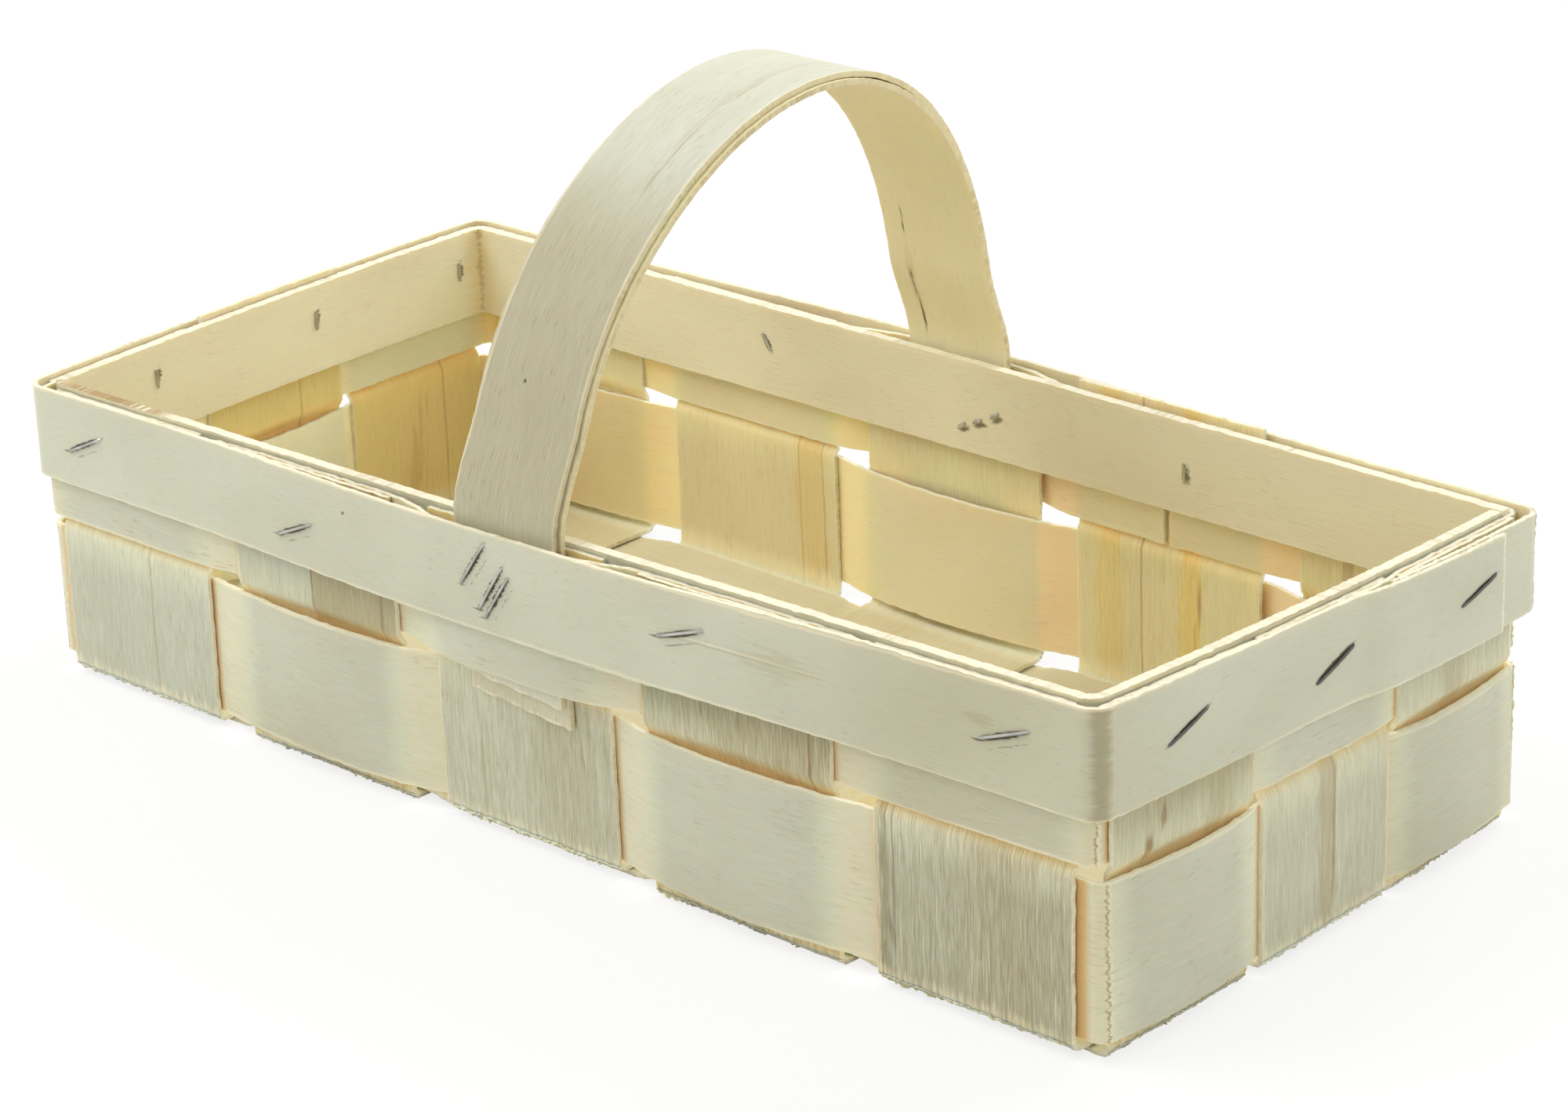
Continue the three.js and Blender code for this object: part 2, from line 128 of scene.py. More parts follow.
class BasketSizes(bpy.types.PropertyGroup):
    """Sizes of the basket's wood and wire"""

    rim_length: distance("Length over the outer rim", 0.302)
    rim_width: distance("Width over the outer rim", 0.1402)
    rim_top: distance("Height of the rim's top edge", 0.0684)
    bow_top: distance("Height of the bow", 0.145)
    bow_lean: distance("How far the bow leans back", 0.014)
    bow_tuck: distance("How far the bow draws in above its legs", 0.0045)
    ply_split: distance("How far the bow's plies part behind its top", 0.0004)
    ply_shift: distance("How far the inner ply stands out beside the outer one", 0.001)
    ply_slant: distance("How far askew the bow's ends are cut", 0.0024)
    long_wall_bow: distance("How far the long walls bow out", 0.0006)
    short_wall_bow: distance("How far the short walls bow out", 0.0015)
    corner_lift: distance("How far the front right corner of the rim is lifted", 0.0055)
    splint: distance("Thickness of strips, bands and outer rim", 0.001)
    inner_rim: distance("Thickness of the inner rim", 0.0023)
    ply: distance("Thickness of each ply of the bow", 0.0012)
    rim_height: distance("Height of both rim hoops", 0.021)
    lower_band_height: distance("Height of the lower woven band", 0.0307)
    handle_width: distance("Width of the bow", 0.028)
    cross_gap: distance("Space between cross strips", 0.0105)
    long_gap: distance("Space between long strips", 0.003)
    band_gap: distance("Space between the two bands", 0.0032)
    cross_count: IntProperty(name="Number of cross strips", default=5, min=3)
    long_count: IntProperty(name="Number of long strips", default=3, min=2)
    upright_step: distance("How far the strips end below the rim's top", 0.001)
    corner_trim: distance("How far the outermost cross strips are trimmed at the corners", 0.0015)
    loose_end: distance("How far two strips stand up out of the rim", 0.0024)
    outer_ply_end: distance("Height of the outer ply's ends", 0.034)
    inner_ply_end: distance("Height of the inner ply's ends", 0.0297)
    rim_lap_end: distance("Distance of the rim's free end from the corner", 0.0138)
    rim_lap: distance("Length over which the outer rim laps", 0.036)
    rim_lap_ramp: distance("Length over which the lap climbs", 0.012)
    rim_loose: distance("How far the outer rim stands off at its lapped corner", 0.002)
    band_lap_inset: distance("How far the lower band's ends stay inside the lap", 0.003)
    band_joint: distance("Space between the upper band's ends", 0.0015)
    base_bend: distance("Bend of the strips round the base", 0.002)
    band_bend: distance("Bend of the bands at the corners", 0.0025)
    outer_rim_bend: distance("Bend of the outer rim", 0.004)
    inner_rim_bend: distance("Bend of the inner rim", 0.0026)
    band_swell: distance("How far the bands bulge between strips", 0.0016)
    rim_swell_reach: distance("Length over which the rim swells to the bow", 0.095)
    wire: distance("Thickness of the staple wire", 0.00064)
    crown: distance("Length of a staple's crown", 0.013)
    clinch: distance("Length of a staple's clinched tips", 0.0044)
    seat: distance("Clearance between layers", 0.0003)
    ripple: distance("How far the thin wood waves", 0.0006)


class BasketColours(bpy.types.PropertyGroup):
    """Colours of the basket's wood, wire and floor"""

    outside: colour("Pale wood on the outside", 212, 212, 191)
    growth: colour("Darker, coarser wood in the outside faces", 186, 176, 138)
    # Painted light: the inside's warmth stands partly for warm light that comes through the thin wood
    inside: colour("Warm wood on the inside", 238, 230, 197)
    # Painted light and shade: warm glow of light through the thin wood, laid where the inside is shaded, in
    # the back left corner and on the strips where they tuck in; some inside streaks of it are the wood's own
    # yellow
    amber_tone_and_glow: colour("Deep yellow wood on the inside", 250, 220, 134)
    # Painted light: wood as if lit, laid on the shaded inside of the left wall and at the strips' bends
    sunlit: colour("Paler wood inside the left wall", 252, 246, 214)
    edge: colour("Fresh wood on the cut edges", 240, 233, 206)
    glow: colour("Thin wood with light behind it", 240, 232, 184)
    backlit: colour("Thin outside wood with light behind it", 232, 234, 204)
    tuck: colour("Shaded wood where a strip tucks in", 214, 175, 100)
    bark: colour("Brown torn edge of the inner rim", 166, 138, 92)
    fibre: colour("Tint of the dark fibres", 186, 172, 138)
    knot: colour("Brown knots and streaks", 150, 112, 62)
    crack: colour("Dark splits and pressed holes", 74, 56, 34)
    wire: colour("Bright drawn wire", 198, 197, 191)
    # Painted shade: a darker copy of the wire for the staples on the right wall
    dull_wire: colour("Darkened wire", 106, 104, 98)
    floor: colour("Pale floor", 246, 246, 244)


class StageSettings(bpy.types.PropertyGroup):
    """Camera and light"""

    eye: FloatVectorProperty(
        name="Place of the camera", default=(0.63317623, -0.66826052, 0.42912538), subtype="TRANSLATION",
    )
    azimuth: angle("Turn of the view about the upright", 42.9835)
    elevation: angle("Dip of the view", 22.8070)
    roll: angle("Tilt of the image", -2.117)
    lens: FloatProperty(name="Focal length in millimetres", default=108.0156)
    ambient: FloatProperty(name="Strength of the light from all round", default=0.62)


# The weave in plan and section

Span = namedtuple("Span", "start end offset swell", defaults=(0.0,))


def lerp(a, b, share):
    return a + (b - a) * share


def smooth(value, low, high):
    share = min(max((value - low) / (high - low), 0.0), 1.0)
    return share * share * (3 - 2 * share)


def weave_run(spans, steps=SPAN_STEPS):
    """Points (along, offset) of a strip that keeps an offset on each span and eases between spans."""
    points = []
    for i, span in enumerate(spans):
        if i:
            last = spans[i - 1]
            for k in range(1, EASE_STEPS):
                share = k / EASE_STEPS
                points.append((
                    lerp(last.end, span.start, share),
                    lerp(last.offset, span.offset, smooth(share, 0, 1)),
                ))
        for k in range(steps + 1):
            share = k / steps
            points.append((
                lerp(span.start, span.end, share),
                span.offset + span.swell * math.sin(math.pi * share),
            ))
    return points


def soften(points, reach):
    """Stiff wood takes its bends over a length: evens out the offsets of a run."""
    along, offset = np.array(points).T
    even = np.linspace(along[0], along[-1], max(8, int((along[-1] - along[0]) / SOFTEN_STEP)))
    level = np.interp(even, along, offset)
    spread = max(1, int(3 * reach / SOFTEN_STEP))
    weight = np.exp(-0.5 * (np.arange(-spread, spread + 1) * SOFTEN_STEP / reach) ** 2)
    padded = np.pad(level, spread, mode="edge")
    level = np.convolve(padded, weight / weight.sum(), mode="valid")
    return list(zip(even[::2], level[::2])) + [(even[-1], level[-1])]


def arc(x, y, radius, start):
    """Quarter of a circle, anticlockwise."""
    angles = [start + k / BEND_STEPS * math.pi / 2 for k in range(BEND_STEPS + 1)]
    return [(x + radius * math.cos(a), y + radius * math.sin(a)) for a in angles]


def side_of(wall):
    """Sign of the places along a wall: those of the back and left walls run the other way."""
    return 1 if wall in (FRONT, RIGHT) else -1


def turned(point, wall):
    """A plan point turned from the front wall to another wall."""
    x, y = point
    return ((x, y), (-y, x), (-x, -y), (y, -x))[wall]


def lengths(path):
    """Distance along the path at each of its points."""
    steps = np.linalg.norm(np.diff(np.array(path), axis=0), axis=1)
    return np.concatenate([[0.0], np.cumsum(steps)])


def nearest(path, point):
    """Distance along the path of its place nearest to a point."""
    path = np.array(path)
    step = np.diff(path, axis=0)
    size = np.maximum((step ** 2).sum(axis=1), TINY ** 2)
    share = np.clip(((np.array(point) - path[:-1]) * step).sum(axis=1) / size, 0, 1)
    away = np.linalg.norm(path[:-1] + step * share[:, None] - point, axis=1)
    k = int(away.argmin())
    return lengths(path)[k] + share[k] * math.sqrt(size[k])


class Strip:
    """One strip of a wall: where it lies along the wall, and its offsets from the weave's middle."""

    def __init__(self, start, end):
        self.start, self.end = start, end
        self.centre = (start + end) / 2
        self.low = self.high = self.low_band = self.high_band = 0.0


class Weave:
    """Layers, heights and strips of the basket, worked out from its sizes."""

    def __init__(self, sizes):
        s = self.sizes = sizes
        self.step = (s.splint + s.seat) / 2
        self.outer_rim_middle = self.step + s.splint + s.seat
        self.inner_rim_middle = -(self.step + s.splint / 2 + s.seat + s.inner_rim / 2)
        self.inner_rim_face = self.inner_rim_middle - s.inner_rim / 2
        self.half_length = s.rim_length / 2 - self.outer_rim_middle - s.splint / 2
        self.half_width = s.rim_width / 2 - self.outer_rim_middle - s.splint / 2
        self.handle_middle = -self.step + s.splint / 2 + s.seat + s.ply + s.seat / 2
        self.band_over_handle = self.handle_middle + s.seat / 2 + s.ply + s.seat + s.splint / 2
        self.rim_swell = self.band_over_handle - self.step
        self.base_middle = self.step + s.splint / 2
        self.lower_band_bottom = self.base_middle + self.step + s.base_bend + s.seat
        self.lower_band_top = self.lower_band_bottom + s.lower_band_height
        self.upper_band_bottom = self.lower_band_top + s.band_gap
        self.strip_top = s.rim_top - s.upright_step
        self.rim_bottom = s.rim_top - s.rim_height
        self.wall_distance = (self.half_width, self.half_length) * 2
        self.cross = self.lay_out(self.half_length, s.cross_count, s.cross_gap)
        self.long = self.lay_out(self.half_width, s.long_count, s.long_gap)
        self.middle = s.cross_count // 2
        self.handle_centre = self.cross[self.middle].centre
        self.lap_to = self.half_width - s.rim_lap_end
        self.lap_from = self.lap_to - s.rim_lap
        low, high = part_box(f"cross_strip_{self.middle + 1}")
        self.shift = Vector(((low.x + high.x) / 2, (low.y + high.y) / 2, 0))
        self.interlace()

    def lay_out(self, half, count, gap):
        """Strips side by side along a wall."""
        margin = self.sizes.band_bend + self.step + self.sizes.seat
        start = margin - half
        pitch = (gap - 2 * start) / count
        return [Strip(start + i * pitch, start + (i + 1) * pitch - gap) for i in range(count)]

    def interlace(self):
        """Plain weave; the bow presses the middle cross strip inwards over its whole height."""
        for i, strip in enumerate(self.cross):
            even = (i - self.middle) % 2 == 0
            strip.high = -self.step if even else self.step
            strip.low = -self.step if i == self.middle else -strip.high
            strip.low_band = strip.low + (-2 if even else 2) * self.step
            strip.high_band = self.band_over_handle if i == self.middle else -strip.high
        for j, strip in enumerate(self.long):
            strip.low = -self.step if j % 2 == 0 else self.step
            strip.high = -strip.low
            strip.low_band = -strip.low
            strip.high_band = -strip.high

    def spring(self, point):
        """Where the springy walls carry a point: bowed outwards, with one corner of the rim lifted."""
        s = self.sizes
        u, v = point.x / self.half_length, point.y / self.half_width
        share = (1 + u) * (1 - v) / 4
        return Vector((
            u * (self.half_length + s.short_wall_bow * (1 - v * v)),
            v * (self.half_width + s.long_wall_bow * (1 - u * u)),
            point.z * (1 + share * s.corner_lift / s.rim_top),
        )) + self.shift

    def strip_path(self, half, strip, crossings, raised=(0.0, 0.0)):
        """Side view of a strip up one wall, over the base and up the other, and its bends' distances."""
        bend = self.sizes.base_bend

        def wall(extra):
            return weave_run([
                Span(-self.strip_top - extra, -self.upper_band_bottom, strip.high),
                Span(-self.lower_band_top, -self.lower_band_bottom, strip.low),
            ], WALL_STEPS)

        bend_at = half + strip.low - bend
        near = [(-(half + offset), -along) for along, offset in wall(raised[0])]
        far = [(half + offset, -along) for along, offset in reversed(wall(raised[1]))]
        first = arc(-bend_at, crossings[0].offset + bend, bend, math.pi)
        second = arc(bend_at, crossings[-1].offset + bend, bend, 1.5 * math.pi)
        floor = weave_run(crossings, FLOOR_STEPS)
        path = near + first + floor + second + far
        at = lengths(path)
        first_bend = len(near) + BEND_STEPS // 2
        second_bend = len(near) + len(first) + len(floor) + BEND_STEPS // 2
        return path, [at[first_bend], at[second_bend]]

    def base_run(self, index, others, over):
        """Spans of a strip over and under the strips that it crosses in the base."""
        return [
            Span(other.start, other.end, self.base_middle + over * (-1) ** (index + k + self.middle))
            for k, other in enumerate(others)
        ]

    def cross_path(self, i, raised=(0.0, 0.0)):
        floor = self.base_run(i, self.long, self.step)
        return self.strip_path(self.half_width, self.cross[i], floor, raised)

    def long_path(self, j, raised=(0.0, 0.0)):
        floor = self.base_run(j, self.cross, -self.step)
        return self.strip_path(self.half_length, self.long[j], floor, raised)

    def hoop_path(self, runs, bend):
        """Plan of a hoop that follows runs on successive walls, and its corners' distances."""
        path, corners = [], []
        for i, (wall, points) in enumerate(runs):
            path += [self.plan(wall, along, out) for along, out in points]
            if i < len(runs) - 1:
                reach = self.wall_distance[(wall + 1) % 4] + runs[i + 1][1][0][1] - bend
                depth = self.wall_distance[wall] + points[-1][1] - bend
                corners.append(len(path) + BEND_STEPS // 2)
                path += [turned(p, wall) for p in arc(reach, -depth, bend, -math.pi / 2)]
        at = lengths(path)
        return path, [at[c] for c in corners]

    def strips_on(self, wall):
        return self.cross if wall in (FRONT, BACK) else self.long

    def band_spans(self, wall, level, swell):
        """Spans of a band over the strips of one wall."""
        spans = [
            Span(s.start, s.end, getattr(s, level), math.copysign(swell, getattr(s, level)))
            for s in self.strips_on(wall)
        ]
        if side_of(wall) > 0:
            return spans
        return [Span(-s.end, -s.start, s.offset, s.swell) for s in reversed(spans)]

    def plan(self, wall, along, out):
        """Plan point at a place along a wall and a distance out of it."""
        return turned((along, -(self.wall_distance[wall] + out)), wall)

    def band_light(self, path, level):
        """Lengths of a band that tuck behind strips, and lengths with no strip behind them."""
        passes = []
        for wall in range(4):
            for strip in self.strips_on(wall):
                band = getattr(strip, f"{level}_band")
                ends = sorted(
                    nearest(path, self.plan(wall, side_of(wall) * x, band)) for x in (strip.start, strip.end)
                )
                if ends[1] - ends[0] < 2 * (strip.end - strip.start):
                    passes.append((*ends, getattr(strip, level) > band))
        passes.sort()
        tucked = [(start, end) for start, end, under in passes if under]
        lit = [(a[1], b[0]) for a, b in zip(passes, passes[1:]) if 0 < b[0] - a[1] < WIDEST_GAP]
        return (tucked, BAND_TUCK_FADE), (lit, BAND_LIT_FADE)

    def strip_light(self, path, strip, half):
        """Lengths of a strip that tuck behind the bands, and its lengths between the bands."""
        tucked, lit = [], []
        for side in (-1, 1):
            def between(low, high, offset):
                return sorted(nearest(path, (side * (half + offset), z)) for z in (low, high))

            if strip.low < strip.low_band:
                tucked.append(between(self.lower_band_bottom, self.lower_band_top, strip.low))
            if strip.high < strip.high_band:
                tucked.append(between(self.upper_band_bottom, self.strip_top, strip.high))
            lit.append(between(self.lower_band_top, self.upper_band_bottom, (strip.low + strip.high) / 2))
        return (tucked, STRIP_TUCK_FADE), (lit, STRIP_LIT_FADE)

    def band_path(self, spans_on, first, last):
        """Plan of a band that starts and ends on the back wall."""
        runs = [(BACK, first), *((wall, spans_on(wall)) for wall in (LEFT, FRONT, RIGHT)), (BACK, last)]
        runs = [(wall, soften(weave_run(spans), BAND_STIFFNESS)) for wall, spans in runs]
        return self.hoop_path(runs, self.sizes.band_bend)

    def lower_band_path(self):
        """The lower band's ends lap outside the second strip of the back wall."""
        s = self.sizes

        def spans_on(wall):
            return self.band_spans(wall, "low_band", s.band_swell)

        corner, lap, *rest = spans_on(BACK)
        under = Span(lap.start + s.band_lap_inset, lap.end, lap.offset)
        over = Span(lap.start, lap.end - s.band_lap_inset, lap.offset + s.splint + s.seat)
        return self.band_path(spans_on, [under, *rest], [corner, over])

    def upper_band_path(self):
        """The upper band swells over the bow's legs; its ends meet behind a strip of the back wall."""
        s = self.sizes
        reach = s.handle_width / 2 + s.seat + s.splint

        def spans_on(wall):
            centre = side_of(wall) * self.handle_centre
            return [
                Span(centre - reach, centre + reach, span.offset)
                if span.offset == self.band_over_handle else span
                for span in self.band_spans(wall, "high_band", 0.0)
            ]

        corner, joint, *rest = spans_on(BACK)
        meet = (joint.start + joint.end) / 2
        first = Span(meet + s.band_joint / 2, joint.end, joint.offset)
        last = Span(joint.start, meet - s.band_joint / 2, joint.offset)
        return self.band_path(spans_on, [first, *rest], [corner, last])

    def loose_lap(self, along):
        """How far the rim stands off the right wall towards its lapped corner."""
        s = self.sizes
        return s.rim_loose * smooth(along, self.lap_from - s.rim_lap, self.lap_to)

    def outer_rim_offset(self, wall, along):
        """How far the outer rim lies from the weave: swollen over the bow, climbing over its own lap."""
        s = self.sizes
        if wall == RIGHT:
            ramp = smooth(along, self.lap_from - s.rim_lap_ramp, self.lap_from - s.seat)
            return self.outer_rim_middle + (s.splint + s.seat) * ramp + self.loose_lap(along)
        if wall == LEFT:
            return self.outer_rim_middle
        away = abs(along - side_of(wall) * self.handle_centre) - s.handle_width / 2 - 2 * s.seat - s.splint
        return self.outer_rim_middle + self.rim_swell * (1 - smooth(away, 0, s.rim_swell_reach))

    def rim_run(self, wall, corner, offset, start=None, end=None):
        """Points (along, offset) of a rim hoop on one wall, from corner to corner or between given ends."""
        stop = self.wall_distance[(wall + 1) % 4] - corner
        first = -stop if start is None else start
        last = stop if end is None else end
        places = [lerp(first, last, k / RIM_STEPS) for k in range(RIM_STEPS + 1)]
        return wall, [(a, offset(wall, a)) for a in places]

    def outer_rim_path(self):
        """The outer rim starts under its own lap on the right wall and ends on top of it."""
        s = self.sizes
        corner = s.outer_rim_bend - self.outer_rim_middle + s.seat

        def under_lap(_, along):
            return self.outer_rim_middle + self.loose_lap(along)

        return self.hoop_path([
            self.rim_run(RIGHT, corner, under_lap, start=self.lap_from),
            *(self.rim_run(wall, corner, self.outer_rim_offset) for wall in (BACK, LEFT, FRONT)),
            self.rim_run(RIGHT, corner, self.outer_rim_offset, end=self.lap_to),
        ], s.outer_rim_bend)

    def inner_rim_path(self):
        """The inner rim's ends butt in the back right corner."""
        s = self.sizes
        corner = s.inner_rim_bend - self.inner_rim_middle + s.seat
        butt_end = self.half_length + self.inner_rim_middle + s.inner_rim / 2
        stop_end = self.half_width + self.inner_rim_face - s.seat

        def level(*_):
            return self.inner_rim_middle

        return self.hoop_path([
            self.rim_run(BACK, corner, level, start=-butt_end),
            *(self.rim_run(wall, corner, level) for wall in (LEFT, FRONT)),
            self.rim_run(RIGHT, corner, level, end=stop_end),
        ], s.inner_rim_bend)

    def handle_path(self, shift, end_height, split):
        """One ply of the bow from the back leg to the front one, its face shifted outwards."""
        s = self.sizes
        half = self.half_width + self.handle_middle
        rise = s.bow_top - s.rim_top - s.ply - s.seat / 2
        middle = [(half, end_height)]
        for k in range(ARCH_STEPS + 1):
            angle = math.pi * k / ARCH_STEPS
            up = math.sin(angle)
            reach = half - s.bow_tuck * smooth(up, 0, ARCH_DRAW_IN)
            middle.append((reach * math.cos(angle) + s.bow_lean * up * up, s.rim_top + rise * up))
        middle.append((-half, end_height))
        points = np.array(middle)
        along = np.gradient(points, axis=0)
        along /= np.linalg.norm(along, axis=1)[:, None]
        out = np.stack([along[:, 1], -along[:, 0]], axis=1)
        share = np.linspace(0, 1, len(points))
        parted = shift + split * np.exp(-((share - PLY_SPLIT_AT) / PLY_SPLIT_REACH) ** 2)
        return [tuple(p) for p in points + out * parted[:, None]]


# Strips of veneer

def pick(*pieces):
    """Selects pieces alone, the first one active."""
    bpy.ops.object.select_all(action="DESELECT")
    for piece in pieces:
        piece.select_set(True)
    bpy.context.view_layer.objects.active = pieces[0]


def vertex_places(mesh):
    """The vertices of a mesh as rows of coordinates."""
    place = np.empty(len(mesh.vertices) * 3)
    mesh.vertices.foreach_get("co", place)
    return place.reshape(-1, 3)


def stations(path):
    """Distances of the columns of a strip's mesh: every point of its path, and enough between."""
    at = lengths(path)
    columns = [0.0]
    for start, end in zip(at[:-1], at[1:]):
        if end - start > TINY:
            parts = max(1, math.ceil((end - start) / COLUMN_SPACING))
            columns += [lerp(start, end, k / parts) for k in range(1, parts + 1)]
    return columns


def flat_strip(name, path, width, rows, fuzz, seed, light, slant):
    """A flat strip of veneer on edge, its UV map in metres along and across the grain."""
    columns = stations(path)
    bpy.ops.mesh.primitive_grid_add(
        x_subdivisions=len(columns) - 1, y_subdivisions=rows, size=1, rotation=(math.pi / 2, 0, 0),
    )
    strip = bpy.context.object
    strip.name = strip.data.name = name
    bpy.ops.object.transform_apply(location=True, rotation=True, scale=True)
    place = vertex_places(strip.data)
    index = np.rint((place[:, 0] + 0.5) * (len(columns) - 1)).astype(int)
    place[:, 0] = np.array(columns)[index]
    place[:, 2] = (place[:, 2] + 0.5) * width
    if slant:
        cut_askew(place, width, slant, seed)
    strip.data.vertices.foreach_set("co", place.ravel())
    write_uv(strip)
    for attribute, (spans, fade) in zip(("tucked", "lit"), light):
        write_share(strip, attribute, place[:, 0], spans, fade)
    bpy.ops.object.mode_set(mode="EDIT")
    bpy.ops.mesh.select_all(action="DESELECT")
    bpy.ops.mesh.select_non_manifold()
    bpy.ops.transform.vertex_random(offset=fuzz, seed=seed)
    bpy.ops.object.mode_set(mode="OBJECT")
    return strip


def cut_askew(place, width, slant, seed):
    """Cuts both ends of a flat strip askew, with ragged ends."""
    far = place[:, 0].max()
    share = place[:, 2] / width
    first = np.clip(1 - place[:, 0] / ASKEW_REACH, 0, 1) ** 2
    last = np.clip(1 - (far - place[:, 0]) / ASKEW_REACH, 0, 1) ** 2
    ragged = np.random.default_rng(seed).uniform(0, RAGGED_END, len(place))
    place[:, 0] += first * slant * share - last * slant * (1 - share)
    place[:, 0] += np.where(first > 0.99, ragged, 0) - np.where(last > 0.99, ragged, 0)


def write_share(strip, name, along, spans, fade):
    """Attribute of a flat strip: 1 on the given spans of its length, fading beside them."""
    share = np.zeros(len(along))
    for start, end in spans:
        away = np.clip(np.maximum(start - along, along - end) / fade, 0, 1)
        share = np.maximum(share, 1 - away * away * (3 - 2 * away))
    strip.data.attributes.new(name, "FLOAT", "POINT").data.foreach_set("value", share)


def write_uv(strip):
    """UV map of a flat strip: distance along it, then distance across it."""
    mesh = strip.data
    corner = np.empty(len(mesh.loops), int)
    mesh.loops.foreach_get("vertex_index", corner)
    layer = mesh.uv_layers.active or mesh.uv_layers.new(name="UVMap")
    layer.uv.foreach_set("vector", vertex_places(mesh)[corner][:, (0, 2)].ravel())


def torn_ridge(name, distances, width, depth, height, seed):
    """Broken fibres along bends: a ragged fringe that stands out of a flat strip at each distance."""
    draw = random.Random(seed)
    count = max(2, round(width / FIBRE_PITCH))
    ridges = []
    for at in distances:
        for row in range(2):
            bpy.ops.mesh.primitive_grid_add(x_subdivisions=count, y_subdivisions=1, size=1)
            ridge = bpy.context.object
            shift = (row - 0.5) * FRINGE_ROW
            patch = draw.random() * 10
            for vertex in ridge.data.vertices:
                across = (vertex.co.x + 0.5) * width
                wave = math.sin(across * SHORT_WAVE + patch) * math.sin(across * LONG_WAVE + 2 * patch)
                tip = height * (0.1 + (0.5 + 0.5 * wave) * draw.random() ** 2.2)
                x = at + shift + draw.uniform(-FRINGE_JITTER, FRINGE_JITTER)
                if vertex.co.y > 0:
                    vertex.co = (x + draw.uniform(-0.3, 0.3) * tip, -(depth + tip), across)
                else:
                    vertex.co = (x, -depth + FIBRE_ROOT, across)
            ridges.append(ridge)
    pick(*ridges)
    bpy.ops.object.join()
    fringe = bpy.context.object
    fringe.name = fringe.data.name = name
    write_uv(fringe)
    return fringe


def straight_curve(name, points):
    """Curve of straight lengths between points."""
    curve = bpy.data.curves.new(name, "CURVE")
    curve.dimensions = "3D"
    spline = curve.splines.new("POLY")
    spline.points.add(len(points) - 1)
    for knot, point in zip(spline.points, points):
        knot.co = (*point, 1)
    holder = bpy.data.objects.new(name, curve)
    bpy.context.collection.objects.link(holder)
    return holder


def guide_curve(path):
    """Curve in plan along which a flat strip is bent."""
    points = [path[0]]
    points += [p for p, q in zip(path[1:], path) if math.dist(p, q) > TINY]
    guide = straight_curve("guide", [(x, y, 0) for x, y in points])
    guide.data.twist_mode = "Z_UP"
    return guide


def spring_cage(weave):
    """Lattice that bows the walls out and lifts one corner of the rim."""
    reach = Vector((weave.half_length, weave.half_width, weave.sizes.bow_top))
    reach += Vector((CAGE_CLEARANCE,) * 3)
    bpy.ops.object.add(type="LATTICE", location=(0, 0, reach.z / 2))
    cage = bpy.context.object
    cage.name = "spring_cage"
    cage.scale = (2 * reach.x, 2 * reach.y, reach.z)
    lattice = cage.data
    for axis, count in zip("uvw", CAGE_POINTS):
        setattr(lattice, f"points_{axis}", count)
        setattr(lattice, f"interpolation_type_{axis}", "KEY_LINEAR")
    bpy.context.view_layer.update()
    stand = cage.matrix_world.copy()
    back = stand.inverted()
    for point in lattice.points:
        point.co_deform = back @ weave.spring(stand @ point.co)


def apply_modifier(piece, kind, **settings):
    """Adds a modifier to a piece, sets it and applies it."""
    pick(piece)
    modifier = piece.modifiers.new(kind.lower(), kind)
    for name, value in settings.items():
        setattr(modifier, name, value)
    bpy.ops.object.modifier_apply(modifier=modifier.name)


def ripple_texture():
    """Slow waves of thin wood, shared by all strips."""
    texture = bpy.data.textures.get("wood_ripple")
    if texture is None:
        texture = bpy.data.textures.new("wood_ripple", "CLOUDS")
        texture.noise_scale = RIPPLE_SCALE
        texture.noise_depth = 1
    return texture


def stand_up(piece, rotation, location):
    """Turns a bent strip from its plan into place."""
    pick(piece)
    piece.rotation_euler = rotation
    piece.location = location
    bpy.ops.object.transform_apply(location=True, rotation=True, scale=True)


def bent_strip(weave, name, path, width, thickness, look, location, rows, fuzz, seed,
               rotation=(0, 0, 0), bends=(), tear=0.0, ripple=1.0, slant=0.0, light=UNLIT):
    """Bends a flat strip along its path, stands it in place, springs it and gives it thickness."""
    strip = flat_strip(name, path, width, rows, fuzz, seed, light, slant)
    parts = [(strip, thickness)]
    if tear:
        fringe = torn_ridge(f"{name}_fringe", bends, width, thickness / 2, tear, seed)
        parts.append((fringe, FRINGE_WALL))
    guide = guide_curve(path)
    cage = bpy.data.objects["spring_cage"]
    for part, wall in parts:
        apply_modifier(part, "CURVE", object=guide, deform_axis="POS_X")
        stand_up(part, rotation, location)
        apply_modifier(part, "LATTICE", object=cage)
        if part is strip:
            apply_modifier(
                part, "DISPLACE", texture=ripple_texture(), texture_coords="GLOBAL",
                strength=weave.sizes.ripple * ripple, mid_level=0.5,
            )
            for material in look:
                part.data.materials.append(material)
            apply_modifier(
                part, "SOLIDIFY", thickness=wall, offset=0.0, use_even_offset=True,
                material_offset=1, material_offset_rim=2,
            )
        else:
            part.data.materials.append(look[0])
            apply_modifier(part, "SOLIDIFY", thickness=wall, offset=0.0)
    bpy.data.objects.remove(guide)
    if tear:
        pick(strip, fringe)
        bpy.ops.object.join()
    keep_above_table(strip)
    return strip


def keep_above_table(piece):
    """Lifts what waves below the table."""
    place = vertex_places(piece.data)
    place[:, 2] = np.maximum(place[:, 2], TABLE_CLEARANCE)
    piece.data.vertices.foreach_set("co", place.ravel())
    piece.data.update()


def settle(piece, node):
    """Shades a finished piece and hands it to the frame in place of its solid."""
    pick(piece)
    bpy.ops.object.shade_smooth_by_angle(angle=SHARP_EDGE)
    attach(piece, "root")
    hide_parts(node)


# Finishes

